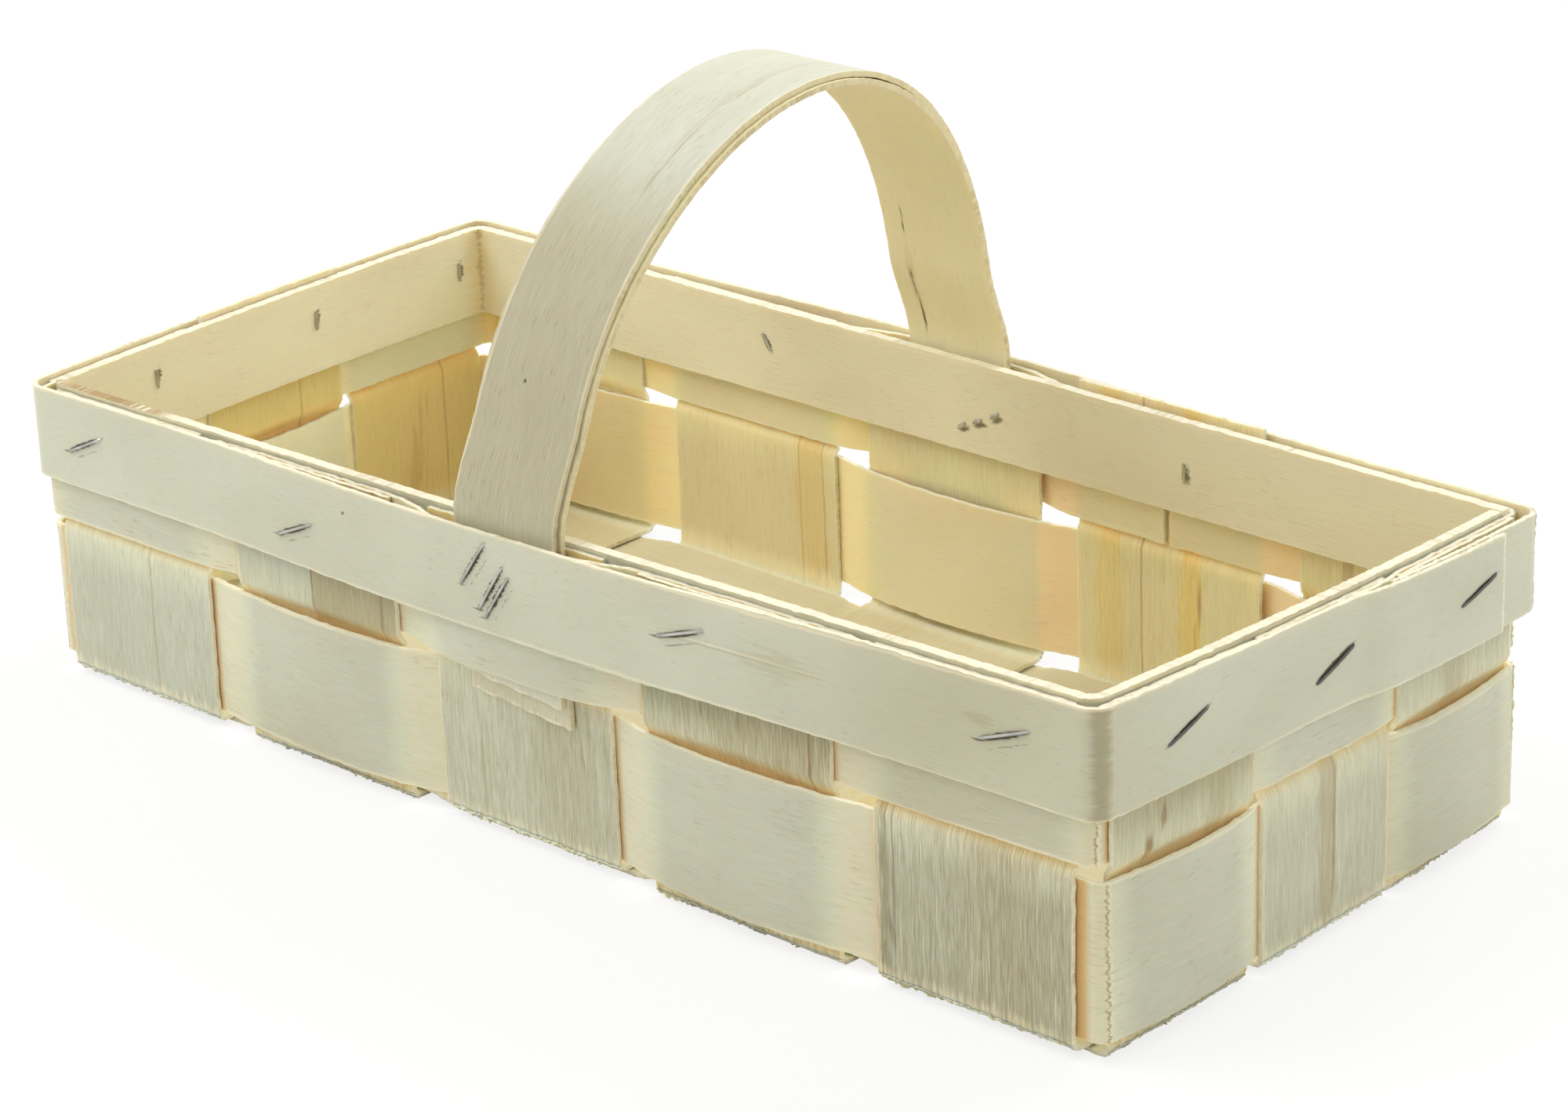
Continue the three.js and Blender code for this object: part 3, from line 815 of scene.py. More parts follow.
class Finish:
    """Node helpers for one material."""

    def __init__(self, name):
        self.material = bpy.data.materials.new(name)
        self.material.use_nodes = True
        self.tree = self.material.node_tree
        self.shader = self.tree.nodes["Principled BSDF"]

    def put(self, value, socket):
        """Links a socket to a value, or sets it."""
        if isinstance(value, bpy.types.NodeSocket):
            self.tree.links.new(value, socket)
        else:
            socket.default_value = value

    def node(self, kind, *values, **settings):
        """A new node with its settings, and values for its first sockets."""
        node = self.tree.nodes.new(f"ShaderNode{kind}")
        for name, setting in settings.items():
            setattr(node, name, setting)
        for value, socket in zip(values, node.inputs):
            self.put(value, socket)
        return node

    def math(self, operation, *values, clamp=False):
        return self.node("Math", *values, operation=operation, use_clamp=clamp).outputs[0]

    def vector(self, operation, *values):
        node = self.node("VectorMath", *values, operation=operation)
        return node.outputs["Value" if operation == "LENGTH" else "Vector"]

    def combine(self, along, across):
        return self.node("CombineXYZ", along, across).outputs[0]

    def remap(self, value, low, high, start=0.0, end=1.0, smooth=False):
        kind = "SMOOTHSTEP" if smooth else "LINEAR"
        return self.node("MapRange", value, low, high, start, end, interpolation_type=kind).outputs[0]

    def noise(self, vector, scale, detail=2.0, roughness=0.55):
        """Noise with its own scale on each axis."""
        node = self.node("TexNoise")
        node.inputs["Scale"].default_value = 1.0
        node.inputs["Detail"].default_value = detail
        node.inputs["Roughness"].default_value = roughness
        self.put(self.vector("MULTIPLY", vector, (*scale, 1.0)[:3]), node.inputs["Vector"])
        return node.outputs[0]

    def swing(self, vector, scale, detail=2.0, roughness=0.55, reach=1.0):
        """Noise that swings to both sides of zero."""
        return self.remap(self.noise(vector, scale, detail, roughness), 0.3, 0.7, -reach, reach)

    def mix(self, share, first, second, kind="MIX"):
        node = self.node("Mix", share, data_type="RGBA", blend_type=kind)
        for value, socket in zip((first, second), node.inputs[6:8]):
            self.put(rgba(value), socket)
        return node.outputs[2]

    def attribute(self, name):
        return self.node("Attribute", attribute_name=name).outputs["Fac"]

    def uv(self):
        return self.node("UVMap", uv_map="UVMap").outputs[0]

    def place(self):
        return self.node("TexCoord").outputs["Object"]

    def bump(self, height, strength, depth):
        node = self.node("Bump")
        node.inputs["Strength"].default_value = strength
        node.inputs["Distance"].default_value = depth
        self.put(height, node.inputs["Height"])
        self.put(node.outputs[0], self.shader.inputs["Normal"])

    def set(self, **inputs):
        """Sets sockets of the shader and gives the finished material."""
        for name, value in inputs.items():
            self.put(rgba(value), self.shader.inputs[name.replace("_", " ")])
        return self.material


def rgba(value):
    """A colour as the sockets take it; anything else unchanged."""
    if isinstance(value, (tuple, list)) and len(value) == 3:
        return (*value, 1.0)
    return value


def scaled(values, share):
    return tuple(share * value for value in values)


def tinted(tone, tint):
    return tuple(a * b for a, b in zip(tone, tint))


def palette(context):
    """The basket's colours as plain tuples."""
    colours = context.scene.basket_colours
    return SimpleNamespace(**{name: tuple(getattr(colours, name)) for name in BasketColours.__annotations__})


# A mark on the wood: its place along and across the strip and its half length and half width in metres,
# then its colour, strength, softness, raggedness and turn
Mark = namedtuple(
    "Mark", "along across long wide colour strength soft ragged turn", defaults=(0.65, 0.3, 0.0),
)
ENDLESS = 100.0


def streak(across, wide, colour, strength, *edge):
    """A mark along the whole strip."""
    return Mark(0.0, across, ENDLESS, wide, colour, strength, *edge)


def bar(along, long, colour, strength, *edge):
    """A mark across the whole strip."""
    return Mark(along, 0.0, long, ENDLESS, colour, strength, *edge)


# Scales of the wood's features along and across the grain, for each metre
WANDERING = (9, 22)
CHATTER_PATCHES = (16, 30)
CLOUDS = (18, 30)
GROWTH_LINES = (26, 820)
EDGE_PATCHES = (60, 200)
RAISED_FIBRES = (75, 2300)
TORN_FIBRES = (90, 1500)
RAGGED_EDGES = (120, 900)
PORE_CLUSTERS = (150, 60)
FINE_FIBRES = (190, 2500)
PORES = (330, 2600)
KNIFE_CHATTER = (400, 45)
BROKEN_FIBRES = (700, 700)

# Scales of the wire's dull patches and drawing lines, and of the floor's mottle
DULL_PATCHES = (260, 260, 260)
DRAWING_LINES = (1500, 1500, 1500)
MOTTLE = (3, 3, 3)

# How far the grain wanders and the marks' ends are torn, and how deep the fibres are, in metres
WANDER = 0.0008
TORN_REACH = 0.0005
FIBRE_DEPTH = 0.00012

# Shifts of the grain for each seed
GRAIN_SHIFT = (0.37, 0.53, 0.11)
EDGE_SHIFT = (0.61, 0.29, 0.17)

# How coarse and flecked the inside is beside the outside, and how strongly thin wood is lit on each side
INSIDE_COARSE, INSIDE_FLECKS = 0.35, 0.6
OUTSIDE_LIT, INSIDE_LIT = 0.55, 0.75

# Share of the floor's look that is plain white to the eye
FLOOR_WHITE = 0.78


def marked(f, wood, uv, ragged, marks):
    """Lays knots, streaks and splits over the wood, each an ellipse along the grain with a ragged edge."""
    for mark in marks:
        ellipse = f.node("Mapping", uv, vector_type="TEXTURE")
        ellipse.inputs["Location"].default_value = (mark.along, mark.across, 0.0)
        ellipse.inputs["Rotation"].default_value = (0.0, 0.0, mark.turn)
        ellipse.inputs["Scale"].default_value = (mark.long, mark.wide, 1.0)
        radius = f.vector("LENGTH", ellipse.outputs[0])
        edge = f.math("MULTIPLY_ADD", ragged, mark.ragged, radius)
        share = f.remap(edge, 1.0 - mark.soft, 1.0, mark.strength, 0.0, smooth=True)
        wood = f.mix(share, wood, mark.colour)
    return wood


# How far red, green and blue light travels in the wood, as shares of a length in metres
LIGHT_TRAVEL = (1.0, 0.62, 0.28)
LIGHT_DEPTH = 0.002


def translucent(f, glow):
    """Thin pale wood lets a little warm light through."""
    f.shader.inputs["Subsurface Radius"].default_value = LIGHT_TRAVEL
    f.set(Subsurface_Scale=LIGHT_DEPTH, Subsurface_Weight=glow)


def veneer(c, name, wood, seed, coarse, flecks, marks, glow, lit, tuck=None, chatter=0.0):
    """Rotary-cut veneer: fine fibres, wandering growth, pores, knife chatter and this piece's own marks."""
    f = Finish(name)
    uv = f.uv()
    seeded = f.vector("ADD", uv, scaled(GRAIN_SHIFT, seed))
    wander = f.swing(seeded, WANDERING, 1.0, reach=WANDER)
    grain = f.vector("ADD", seeded, f.combine(0.0, wander))
    fine = f.swing(grain, FINE_FIBRES, 2.0, 0.6)
    growth = f.swing(grain, GROWTH_LINES, 3.0, 0.62)
    cloud = f.swing(seeded, CLOUDS)
    raised = f.remap(f.noise(grain, RAISED_FIBRES, 1.0), 0.59, 0.71, 0.0, 0.36 * coarse, smooth=True)
    cluster = f.remap(f.noise(seeded, PORE_CLUSTERS, 1.0), 0.42, 0.62, 0.15, 1.0, smooth=True)
    pores = f.math("MULTIPLY", f.remap(f.noise(grain, PORES, 0.0), 0.64, 0.76, smooth=True), cluster)
    thin = f.math("MULTIPLY", f.attribute("lit"), lit[1])
    torn = f.vector("ADD", uv, f.combine(f.swing(seeded, TORN_FIBRES, 3.0, 0.75, TORN_REACH), wander))
    tone = marked(f, f.mix(thin, wood, lit[0]), torn, f.swing(grain, RAGGED_EDGES), marks)
    dark = f.math("MULTIPLY_ADD", fine, 0.26 * coarse, 0.1 + 0.2 * coarse)
    dark = f.math("MULTIPLY_ADD", growth, 0.1 * coarse, dark)
    dark = f.math("MULTIPLY_ADD", cloud, 0.09, dark)
    dark = f.math("MULTIPLY_ADD", pores, 0.5 * flecks, dark, clamp=True)
    tone = f.mix(raised, f.mix(dark, tone, c.fibre, "MULTIPLY"), c.edge)
    if tuck:
        tone = f.mix(f.math("MULTIPLY", f.attribute("tucked"), tuck[1]), tone, tuck[0])
    height = f.math("MULTIPLY_ADD", growth, 0.3, fine)
    height = f.math("MULTIPLY_ADD", pores, -1.0, height)
    if chatter:
        patch = f.remap(f.noise(seeded, CHATTER_PATCHES, 1.0), 0.4, 0.6, 0.0, chatter, smooth=True)
        height = f.math("MULTIPLY_ADD", f.swing(seeded, KNIFE_CHATTER, 1.0), patch, height)
    f.bump(height, 0.1 + 0.22 * coarse, FIBRE_DEPTH)
    translucent(f, glow)
    return f.set(
        Base_Color=tone, Roughness=f.remap(fine, -1.0, 1.0, 0.6, 0.78), Specular_IOR_Level=0.28,
    )


def cut_edge(c, name, wood, seed, marks=()):
    """Freshly cut edge: near-white wood with short broken fibres."""
    f = Finish(name)
    uv = f.uv()
    seeded = f.vector("ADD", uv, scaled(EDGE_SHIFT, seed))
    broken = f.remap(f.noise(seeded, BROKEN_FIBRES, 2.0, 0.7), 0.35, 0.7, smooth=True)
    patch = f.remap(f.noise(seeded, EDGE_PATCHES, 2.0), 0.4, 0.75, 0.1, 0.5, smooth=True)
    tone = marked(f, rgba(wood), uv, broken, marks)
    tone = f.mix(f.math("MULTIPLY", patch, broken), tone, c.fibre, "MULTIPLY")
    f.bump(broken, 0.5, 0.0002)
    translucent(f, 0.2)
    return f.set(
        Base_Color=tone, Roughness=f.remap(broken, 0.0, 1.0, 0.7, 0.9), Specular_IOR_Level=0.2,
    )


def drawn_wire(name, steel):
    """Bright wire with fine drawing lines and dull patches."""
    f = Finish(name)
    place = f.place()
    dull = f.remap(f.noise(place, DULL_PATCHES, 2.0), 0.35, 0.7, smooth=True)
    f.bump(f.noise(place, DRAWING_LINES, 1.0), 0.08, 0.00003)
    return f.set(
        Base_Color=f.mix(dull, steel, scaled(steel, 0.72)),
        Roughness=f.remap(dull, 0.0, 1.0, 0.22, 0.36), Metallic=1.0,
    )


def direct_view(tree):
    """1 for rays that show a surface to the eye, straight, mirrored or through clear things."""
    seen = tree.nodes.new("ShaderNodeLightPath")
    share = seen.outputs["Is Camera Ray"]
    for kind in ("Is Glossy Ray", "Is Transmission Ray"):
        either = tree.nodes.new("ShaderNodeMath")
        either.operation = "MAXIMUM"
        tree.links.new(share, either.inputs[0])
        tree.links.new(seen.outputs[kind], either.inputs[1])
        share = either.outputs[0]
    return share


def blend(tree, share, first, second, output):
    """Mixes two shaders into the output of a material or world."""
    mixed = tree.nodes.new("ShaderNodeMixShader")
    for source, socket in zip((share, first.outputs[0], second.outputs[0]), mixed.inputs):
        tree.links.new(source, socket)
    tree.links.new(mixed.outputs[0], tree.nodes[output].inputs["Surface"])


def pale_floor(name, tone):
    """Floor that shows almost white to the eye and keeps a soft shadow of the basket."""
    f = Finish(name)
    mottle = f.math("MULTIPLY", f.noise(f.place(), MOTTLE, 2.0), 0.05)
    f.set(Base_Color=f.mix(mottle, tone, scaled(tone, 0.9)), Roughness=0.9, Specular_IOR_Level=0.0)
    white = f.node("Emission")
    white.inputs["Strength"].default_value = 1.0
    share = f.math("MULTIPLY", direct_view(f.tree), FLOOR_WHITE)
    blend(f.tree, share, f.shader, white, "Material Output")
    return f.material


def look_of(c, name, width, seed, coarse, flecks, tint=(1, 1, 1), warm=(1, 1, 1), marks=(), inside_marks=(),
            edge_marks=(), glow=0.3, shade=0.8, under=None, shaded_edge_tint=(1, 1, 1), chatter=0.0):
    """The three finishes of one strip: outside, inside and cut edge."""
    fuzz = [streak(v, 0.0005, c.edge, 0.55, 0.9, 0.35) for v in (0.0, width)]
    return (
        veneer(
            c, f"{name}_outside", tinted(c.outside, tint), seed, coarse, flecks, [*marks, *fuzz], glow,
            (c.backlit, OUTSIDE_LIT), (under or c.tuck, shade), chatter,
        ),
        # The inside's warm tone, and its glow where nothing lies behind, partly stand for light through the
        # thin wood: painted light
        veneer(
            c, f"{name}_inside", tinted(c.inside, warm), seed + 0.5, INSIDE_COARSE * coarse,
            INSIDE_FLECKS * flecks, [*inside_marks, *fuzz], glow, (c.glow, INSIDE_LIT),
        ),
        cut_edge(c, f"{name}_edge", tinted(c.edge, shaded_edge_tint), seed, edge_marks),
    )


def weave_of(context):
    """The weave for the sizes that are set, with its spring cage in the scene."""
    weave = Weave(context.scene.basket_sizes)
    if "spring_cage" not in bpy.data.objects:
        spring_cage(weave)
    return weave


# Pieces

# How much light the woven strips let through, and how dark they get where they tuck in
STRIP_GLOW = 0.7
STRIP_SHADE = 0.5

# Coarseness and colour of each cross strip from left to right, and of each long strip from front to back
Wood = namedtuple("Wood", "coarse tint warm")
# Each inside tint (warm) partly paints warm light through the wood
CROSS_WOOD = (
    Wood(0.45, (0.94, 0.96, 0.96), (1.0, 0.95, 0.85)),
    Wood(0.5, (0.94, 0.96, 0.98), (0.95, 0.9, 0.8)),
    Wood(0.8, (0.97, 0.97, 0.95), (0.97, 0.94, 0.88)),
    Wood(0.95, (0.76, 0.74, 0.64), (1.08, 1.03, 0.92)),
    Wood(1.05, (0.85, 0.84, 0.79), (1.0, 0.93, 0.81)),
)
LONG_TINT = ((0.78, 0.74, 0.62), (0.98, 0.97, 0.94), (0.97, 0.95, 0.91))


def painted_bend_light(c, bends):
    """Painted light at the bends, outside and inside, against the shade near the floor and in the gaps."""
    outside = [bar(at, 0.0034, c.sunlit, 0.6, 0.9, 0.4) for at in bends]
    inside = [bar(at, 0.007, c.sunlit, 0.8, 0.8, 0.1) for at in bends]
    return outside, inside


def cross_marks(c):
    """Streaks and knots outside on the front wall, strip by strip."""
    return (
        [Mark(0.04, 0.029, 0.05, 0.0004, c.growth, 0.6)],
        [
            streak(0.0365, 0.0137, c.growth, 0.85, 0.08, 0.05),
            streak(0.0233, 0.0005, c.knot, 0.45, 0.8, 0.5),
            streak(0.045, 0.0006, c.knot, 0.4, 0.8, 0.5),
        ],
        [
            streak(0.036, 0.014, c.growth, 0.3),
            Mark(0.06, 0.012, 0.03, 0.0006, c.growth, 0.5),
        ],
        [
            streak(0.034, 0.022, c.growth, 0.5),
            Mark(0.036, 0.037, 0.012, 0.004, c.knot, 0.3, 0.9, 0.5),
            Mark(0.03, 0.044, 0.02, 0.0006, c.knot, 0.6),
        ],
        [
            streak(0.0016, 0.0016, scaled(c.growth, 0.75), 0.55, 0.7, 0.6),
            streak(0.0038, 0.0003, c.crack, 0.4, 0.8, 0.6),
            streak(0.032, 0.012, c.growth, 0.35),
            streak(0.0155, 0.0006, c.outside, 0.7),
        ],
    )


def cross_inside_marks(c, back):
    """Streaks and knots inside on the back wall beyond the back bend, strip by strip."""
    return (
        [streak(0.002, 0.014, c.amber_tone_and_glow, 0.8, 0.9, 0.1)],
        [
            streak(0.042, 0.0055, scaled(c.amber_tone_and_glow, 0.85), 0.45, 0.4),
            streak(0.046, 0.0004, c.knot, 0.35),
            streak(0.0385, 0.0003, c.knot, 0.3),
        ],
        [],
        [
            streak(0.018, 0.0004, c.knot, 0.4),
            Mark(back + 0.024, 0.0335, 0.008, 0.0009, c.knot, 0.75, 0.8),
            Mark(back + 0.014, 0.0325, 0.009, 0.0004, c.knot, 0.6),
            streak(0.031, 0.004, c.amber_tone_and_glow, 0.7),
            streak(0.009, 0.005, c.amber_tone_and_glow, 0.5),
        ],
        [
            streak(0.012, 0.002, c.knot, 0.3),
            streak(0.03, 0.006, c.amber_tone_and_glow, 0.5),
        ],
    )


class BASKET_OT_cross_strips(bpy.types.Operator):
    """Weaves the strips that run across the base and up both long walls"""

    bl_idname = "basket.cross_strips"
    bl_label = "Cross strips"

    def execute(self, context):
        weave = weave_of(context)
        s, c = weave.sizes, palette(context)
        marks = cross_marks(c)
        _, (_, back) = weave.cross_path(0)
        inside_marks = cross_inside_marks(c, back)
        for i, strip in enumerate(weave.cross):
            path, bends = weave.cross_path(i, (0.0, s.loose_end if i == weave.middle + 1 else 0.0))
            start = strip.start + (s.corner_trim if i == 0 else 0.0)
            end = strip.end - (s.corner_trim if i == s.cross_count - 1 else 0.0)
            half = (bends[1] - bends[0]) / 2
            base = bar(bends[0] + half, half, c.growth, 0.25, 0.1, 0.02)
            # Painted light at the bends
            bend_light, bend_light_inside = painted_bend_light(c, bends)
            kind = i % len(CROSS_WOOD)
            wood = CROSS_WOOD[kind]
            look = look_of(
                c, f"cross_{i + 1}", end - start, seed=3 + i, coarse=wood.coarse, flecks=0.45,
                tint=wood.tint, warm=wood.warm, marks=marks[kind] + bend_light,
                inside_marks=[*inside_marks[kind], base, *bend_light_inside],
                glow=STRIP_GLOW, shade=STRIP_SHADE, under=c.amber_tone_and_glow,
            )
            piece = bent_strip(
                weave, f"woven_cross_strip_{i + 1}", path, end - start, s.splint, look,
                rotation=(math.pi / 2, 0, math.pi / 2), location=(start, 0, 0),
                bends=bends, tear=0.0009, rows=24, fuzz=0.0002, seed=11 + i,
                light=weave.strip_light(path, strip, weave.half_width),
            )
            settle(piece, f"cross_strip_{i + 1}")
        return {"FINISHED"}


def long_marks(c, right, width):
    """Streaks and knots outside on the right wall beyond the right bend, strip by strip."""
    return (
        [
            Mark(right + 0.0418, width - 0.0152, 0.0034, 0.0013, c.knot, 0.65, 0.9, 0.4),
            Mark(right + 0.0372, width - 0.0108, 0.004, 0.0016, c.knot, 0.75, 0.9, 0.4),
            streak(width - 0.03, 0.004, c.growth, 0.5),
        ],
        [
            streak(width - 0.02, 0.004, c.growth, 0.6),
            Mark(right + 0.022, width - 0.0225, 0.03, 0.0007, c.knot, 0.35),
        ],
        [streak(width - 0.02, 0.006, c.growth, 0.4)],
    )


class BASKET_OT_long_strips(bpy.types.Operator):
    """Weaves the strips that run along the base and up both short walls"""

    bl_idname = "basket.long_strips"
    bl_label = "Long strips"

    def execute(self, context):
        weave = weave_of(context)
        s, c = weave.sizes, palette(context)
        for j, strip in enumerate(weave.long):
            path, bends = weave.long_path(j, (s.loose_end if j == 1 else 0.0, 0.0))
            left, right = bends
            width = strip.end - strip.start
            # Painted light at the bends
            bend_light, bend_light_inside = painted_bend_light(c, bends)
            inside_marks = [
                # Painted light: warm glow on the shaded inside of the left wall
                Mark(left - 0.024, width / 2, 0.042, 0.2, c.amber_tone_and_glow, 0.65, 0.35, 0.05),
                Mark((left + right) / 2, width / 2, (right - left) / 2, 0.4, c.growth, 0.3, 0.1, 0.02),
                *bend_light_inside,
                Mark(left - 0.03, width * 0.3, 0.05, 0.0005, c.knot, 0.3),
                Mark(left - 0.012, width * 0.55, 0.02, 0.004, c.knot, 0.2, 0.9, 0.5, 0.2),
            ]
            kind = j % len(LONG_TINT)
            look = look_of(
                c, f"long_{j + 1}", width, seed=13 + j, coarse=0.55, flecks=0.4,
                tint=LONG_TINT[kind], warm=(1.0, 0.99, 0.97),
                marks=long_marks(c, right, width)[kind] + bend_light, inside_marks=inside_marks,
                glow=STRIP_GLOW, shade=STRIP_SHADE, under=c.amber_tone_and_glow,
            )
            piece = bent_strip(
                weave, f"woven_long_strip_{j + 1}", path, width, s.splint, look,
                rotation=(math.pi / 2, 0, 0), location=(0, strip.end, 0),
                bends=bends, tear=0.0008, rows=20, fuzz=0.0002, seed=31 + j,
                light=weave.strip_light(path, strip, weave.half_length),
            )
            settle(piece, f"long_strip_{j + 1}")
        return {"FINISHED"}


def corner_cracks(c, bends):
    """Broken outer fibres of a band at the corners, over a faint painted glow."""
    return [
        mark for at in bends for mark in (
            # Painted light: a faint glow over the corner
            bar(at, 0.0024, c.glow, 0.15, 0.9, 0.4),
            bar(at + 0.0013, 0.0006, c.edge, 0.6, 0.9, 0.3),
            bar(at + 0.0008, 0.0003, c.knot, 0.6, 0.9, 0.5),
        )
    ]


class BASKET_OT_bands(bpy.types.Operator):
    """Weaves the lower and the upper band round the walls"""

    bl_idname = "basket.bands"
    bl_label = "Woven bands"

    def execute(self, context):
        weave = weave_of(context)
        s, c = weave.sizes, palette(context)
        path, bends = weave.lower_band_path()
        first = nearest(path, weave.plan(BACK, -weave.cross[0].centre, 0.0))
        # Painted warm shade inside the back left corner of the lower band
        corner_shade = bar(first, 0.036, scaled(c.amber_tone_and_glow, 0.75), 0.4, 0.5, 0.05)
        look = self.look(
            c, "lower_band", s.lower_band_height, bends, seed=21, flecks=0.38,
            tint=(0.96, 0.96, 0.95), warm=(1.0, 0.96, 0.93), inside_marks=[corner_shade],
        )
        piece = bent_strip(
            weave, "woven_lower_band", path, s.lower_band_height, s.splint, look,
            location=(0, 0, weave.lower_band_bottom), bends=bends[3:], tear=0.0006,
            rows=16, fuzz=0.0002, seed=41, light=weave.band_light(path, "low"),
        )
        settle(piece, "lower_band")
        path, bends = weave.upper_band_path()
        height = weave.strip_top - weave.upper_band_bottom
        # Painted shade: the upper band darker towards the front right corner
        shade_near_corner = bar(bends[2] - 0.03, 0.06, c.growth, 0.35, 0.9, 0.03)
        look = self.look(
            c, "upper_band", height, bends, seed=23, flecks=0.4, warm=(0.98, 0.93, 0.86), marks=[shade_near_corner],
        )
        piece = bent_strip(
            weave, "woven_upper_band", path, height, s.splint, look,
            location=(0, 0, weave.upper_band_bottom), bends=bends[3:], tear=0.0006,
            rows=14, fuzz=0.0002, seed=43, light=weave.band_light(path, "high"),
        )
        settle(piece, "upper_band")
        return {"FINISHED"}

    def look(self, c, name, height, bends, marks=(), inside_marks=(), **wood):
        """The finishes of a band, cracked at the corners, with painted light on the inside of the left wall.
        """
        half = (bends[1] - bends[0]) / 2
        # Painted light on the shaded inside of the left wall
        left_wall = bar(bends[0] + half, half, c.sunlit, 0.9, 0.15, 0.02)
        return look_of(
            c, name, height, coarse=0.2, glow=STRIP_GLOW, marks=[*marks, *corner_cracks(c, bends)],
            inside_marks=[*inside_marks, left_wall], **wood,
        )


class BASKET_OT_rims(bpy.types.Operator):
    """Bends the inner and the outer rim hoop"""

    bl_idname = "basket.rims"
    bl_label = "Rim hoops"

    def execute(self, context):
        weave = weave_of(context)
        s, c = weave.sizes, palette(context)
        place = (0, 0, weave.rim_bottom)
        path, bends = weave.outer_rim_path()
        look = look_of(
            c, "outer_rim", s.rim_height, seed=27, coarse=0.12, flecks=0.3, tint=(1.0, 1.01, 1.0),
            marks=self.outer_marks(weave, c, path, bends[3]), glow=0.5, chatter=2.5,
        )
        piece = bent_strip(
            weave, "outer_rim_hoop", path, s.rim_height, s.splint, look, location=place,
            bends=bends[:1], tear=0.0006, rows=12, fuzz=0.00016, ripple=0.4, seed=47,
        )
        settle(piece, "outer_rim")
        path, bends = weave.inner_rim_path()
        look = look_of(
            c, "inner_rim", s.rim_height, seed=29, coarse=0.25, flecks=0.5, warm=(0.96, 0.97, 1.0),
            inside_marks=self.inner_marks(weave, c, path, bends),
            edge_marks=[Mark(bends[1] + 0.018, s.rim_height, 0.03, 0.02, c.bark, 0.95, 0.6, 0.6)],
        )
        piece = bent_strip(
            weave, "inner_rim_hoop", path, s.rim_height, s.inner_rim, look, location=place,
            rows=12, fuzz=0.00018, ripple=0.4, seed=53,
        )
        settle(piece, "inner_rim")
        return {"FINISHED"}

    def outer_marks(self, weave, c, path, near):
        """Cracks, spots and lines of the outer rim with painted shade on the front wall towards the near
        corner, the lap's end and a crease, then a painted shadow along each staple's crown and, on the
        front, a split and a scratch.
        """
        s = weave.sizes
        marks = [
            # Painted shade: the front wall darker towards the near corner
            bar(near - 0.025, 0.06, c.growth, 0.36, 0.9, 0.03),
            bar(near + 0.0009, 0.0027, scaled(c.growth, 0.78), 0.7, 0.8, 0.15),
            # A pale line with a painted shade line beneath it
            Mark(near - 0.085, 0.0122, 0.03, 0.0003, c.edge, 0.7, 0.8, 0.3),
            Mark(near - 0.085, 0.0117, 0.03, 0.0003, c.growth, 0.6, 0.8, 0.3),
            # Painted shadow on the layer below the rim's free end, and a pale line along that end
            bar(s.rim_lap + 0.0005, 0.0006, c.knot, 0.7, 0.9, 0.1),
            bar(lengths(path)[-1], 0.0008, c.edge, 0.9, 0.7, 0.3),
            Mark(near - 0.195, 0.0155, 0.0006, 0.0005, c.knot, 0.9, 0.5),
            Mark(near - 0.075, 0.012, 0.012, 0.004, c.growth, 0.3, 0.9, 0.6),
            Mark(near - 0.027, 0.0135, 0.006, 0.0014, c.growth, 0.5, 0.9, 0.6),
        ]
        side, beside = s.crown / 2, 0.0021
        for staple in staples(weave):
            out = weave.outer_rim_offset(staple.wall, staple.along)
            at = nearest(path, weave.plan(staple.wall, staple.along, out))
            up = s.rim_height - staple.drop
            run, rise = math.cos(staple.tilt), math.sin(staple.tilt)
            # Painted shadow along each staple's crown
            marks.append(Mark(at, up, 0.0077, 0.00085, c.crack, 0.9, 0.45, 0.1, staple.tilt))
            if staple.wall == FRONT:
                marks += [
                    Mark(at - side * run, up - side * rise, 0.0022, 0.0003, c.crack, 0.75, 0.9, 0.3),
                    Mark(
                        at + beside * rise, up - beside * run, 0.0055, 0.0002,
                        c.crack, 0.35, 0.7, 0.8, staple.tilt,
                    ),
                ]
        return marks

    def inner_marks(self, weave, c, path, bends):
        """Painted light on the left wall and beside it, painted warm shade and a crack in the far corner,
        and a dark mark at each clinch.
        """
        half = (bends[1] - bends[0]) / 2
        marks = [
            # Painted light on the shaded left wall, fainter beside it on the back wall, then painted warm
            # shade in the far corner
            bar(bends[0] + half, half + 0.01, c.sunlit, 0.8, 0.2, 0.02),
            bar(bends[0] - 0.05, 0.07, c.sunlit, 0.35, 0.6, 0.02),
            bar(bends[0], 0.008, scaled(c.amber_tone_and_glow, 0.85), 0.4, 0.9, 0.1),
            bar(bends[0], 0.0014, c.bark, 0.4, 0.9, 0.7),
        ]
        for staple in staples(weave):
            at = nearest(path, weave.plan(staple.wall, staple.along, weave.inner_rim_middle))
            up = weave.sizes.rim_height - staple.drop
            marks.append(Mark(at - 0.0008, up, 0.0026, 0.0009, c.crack, 0.75, 0.8, 0.3, staple.lean))
        return marks


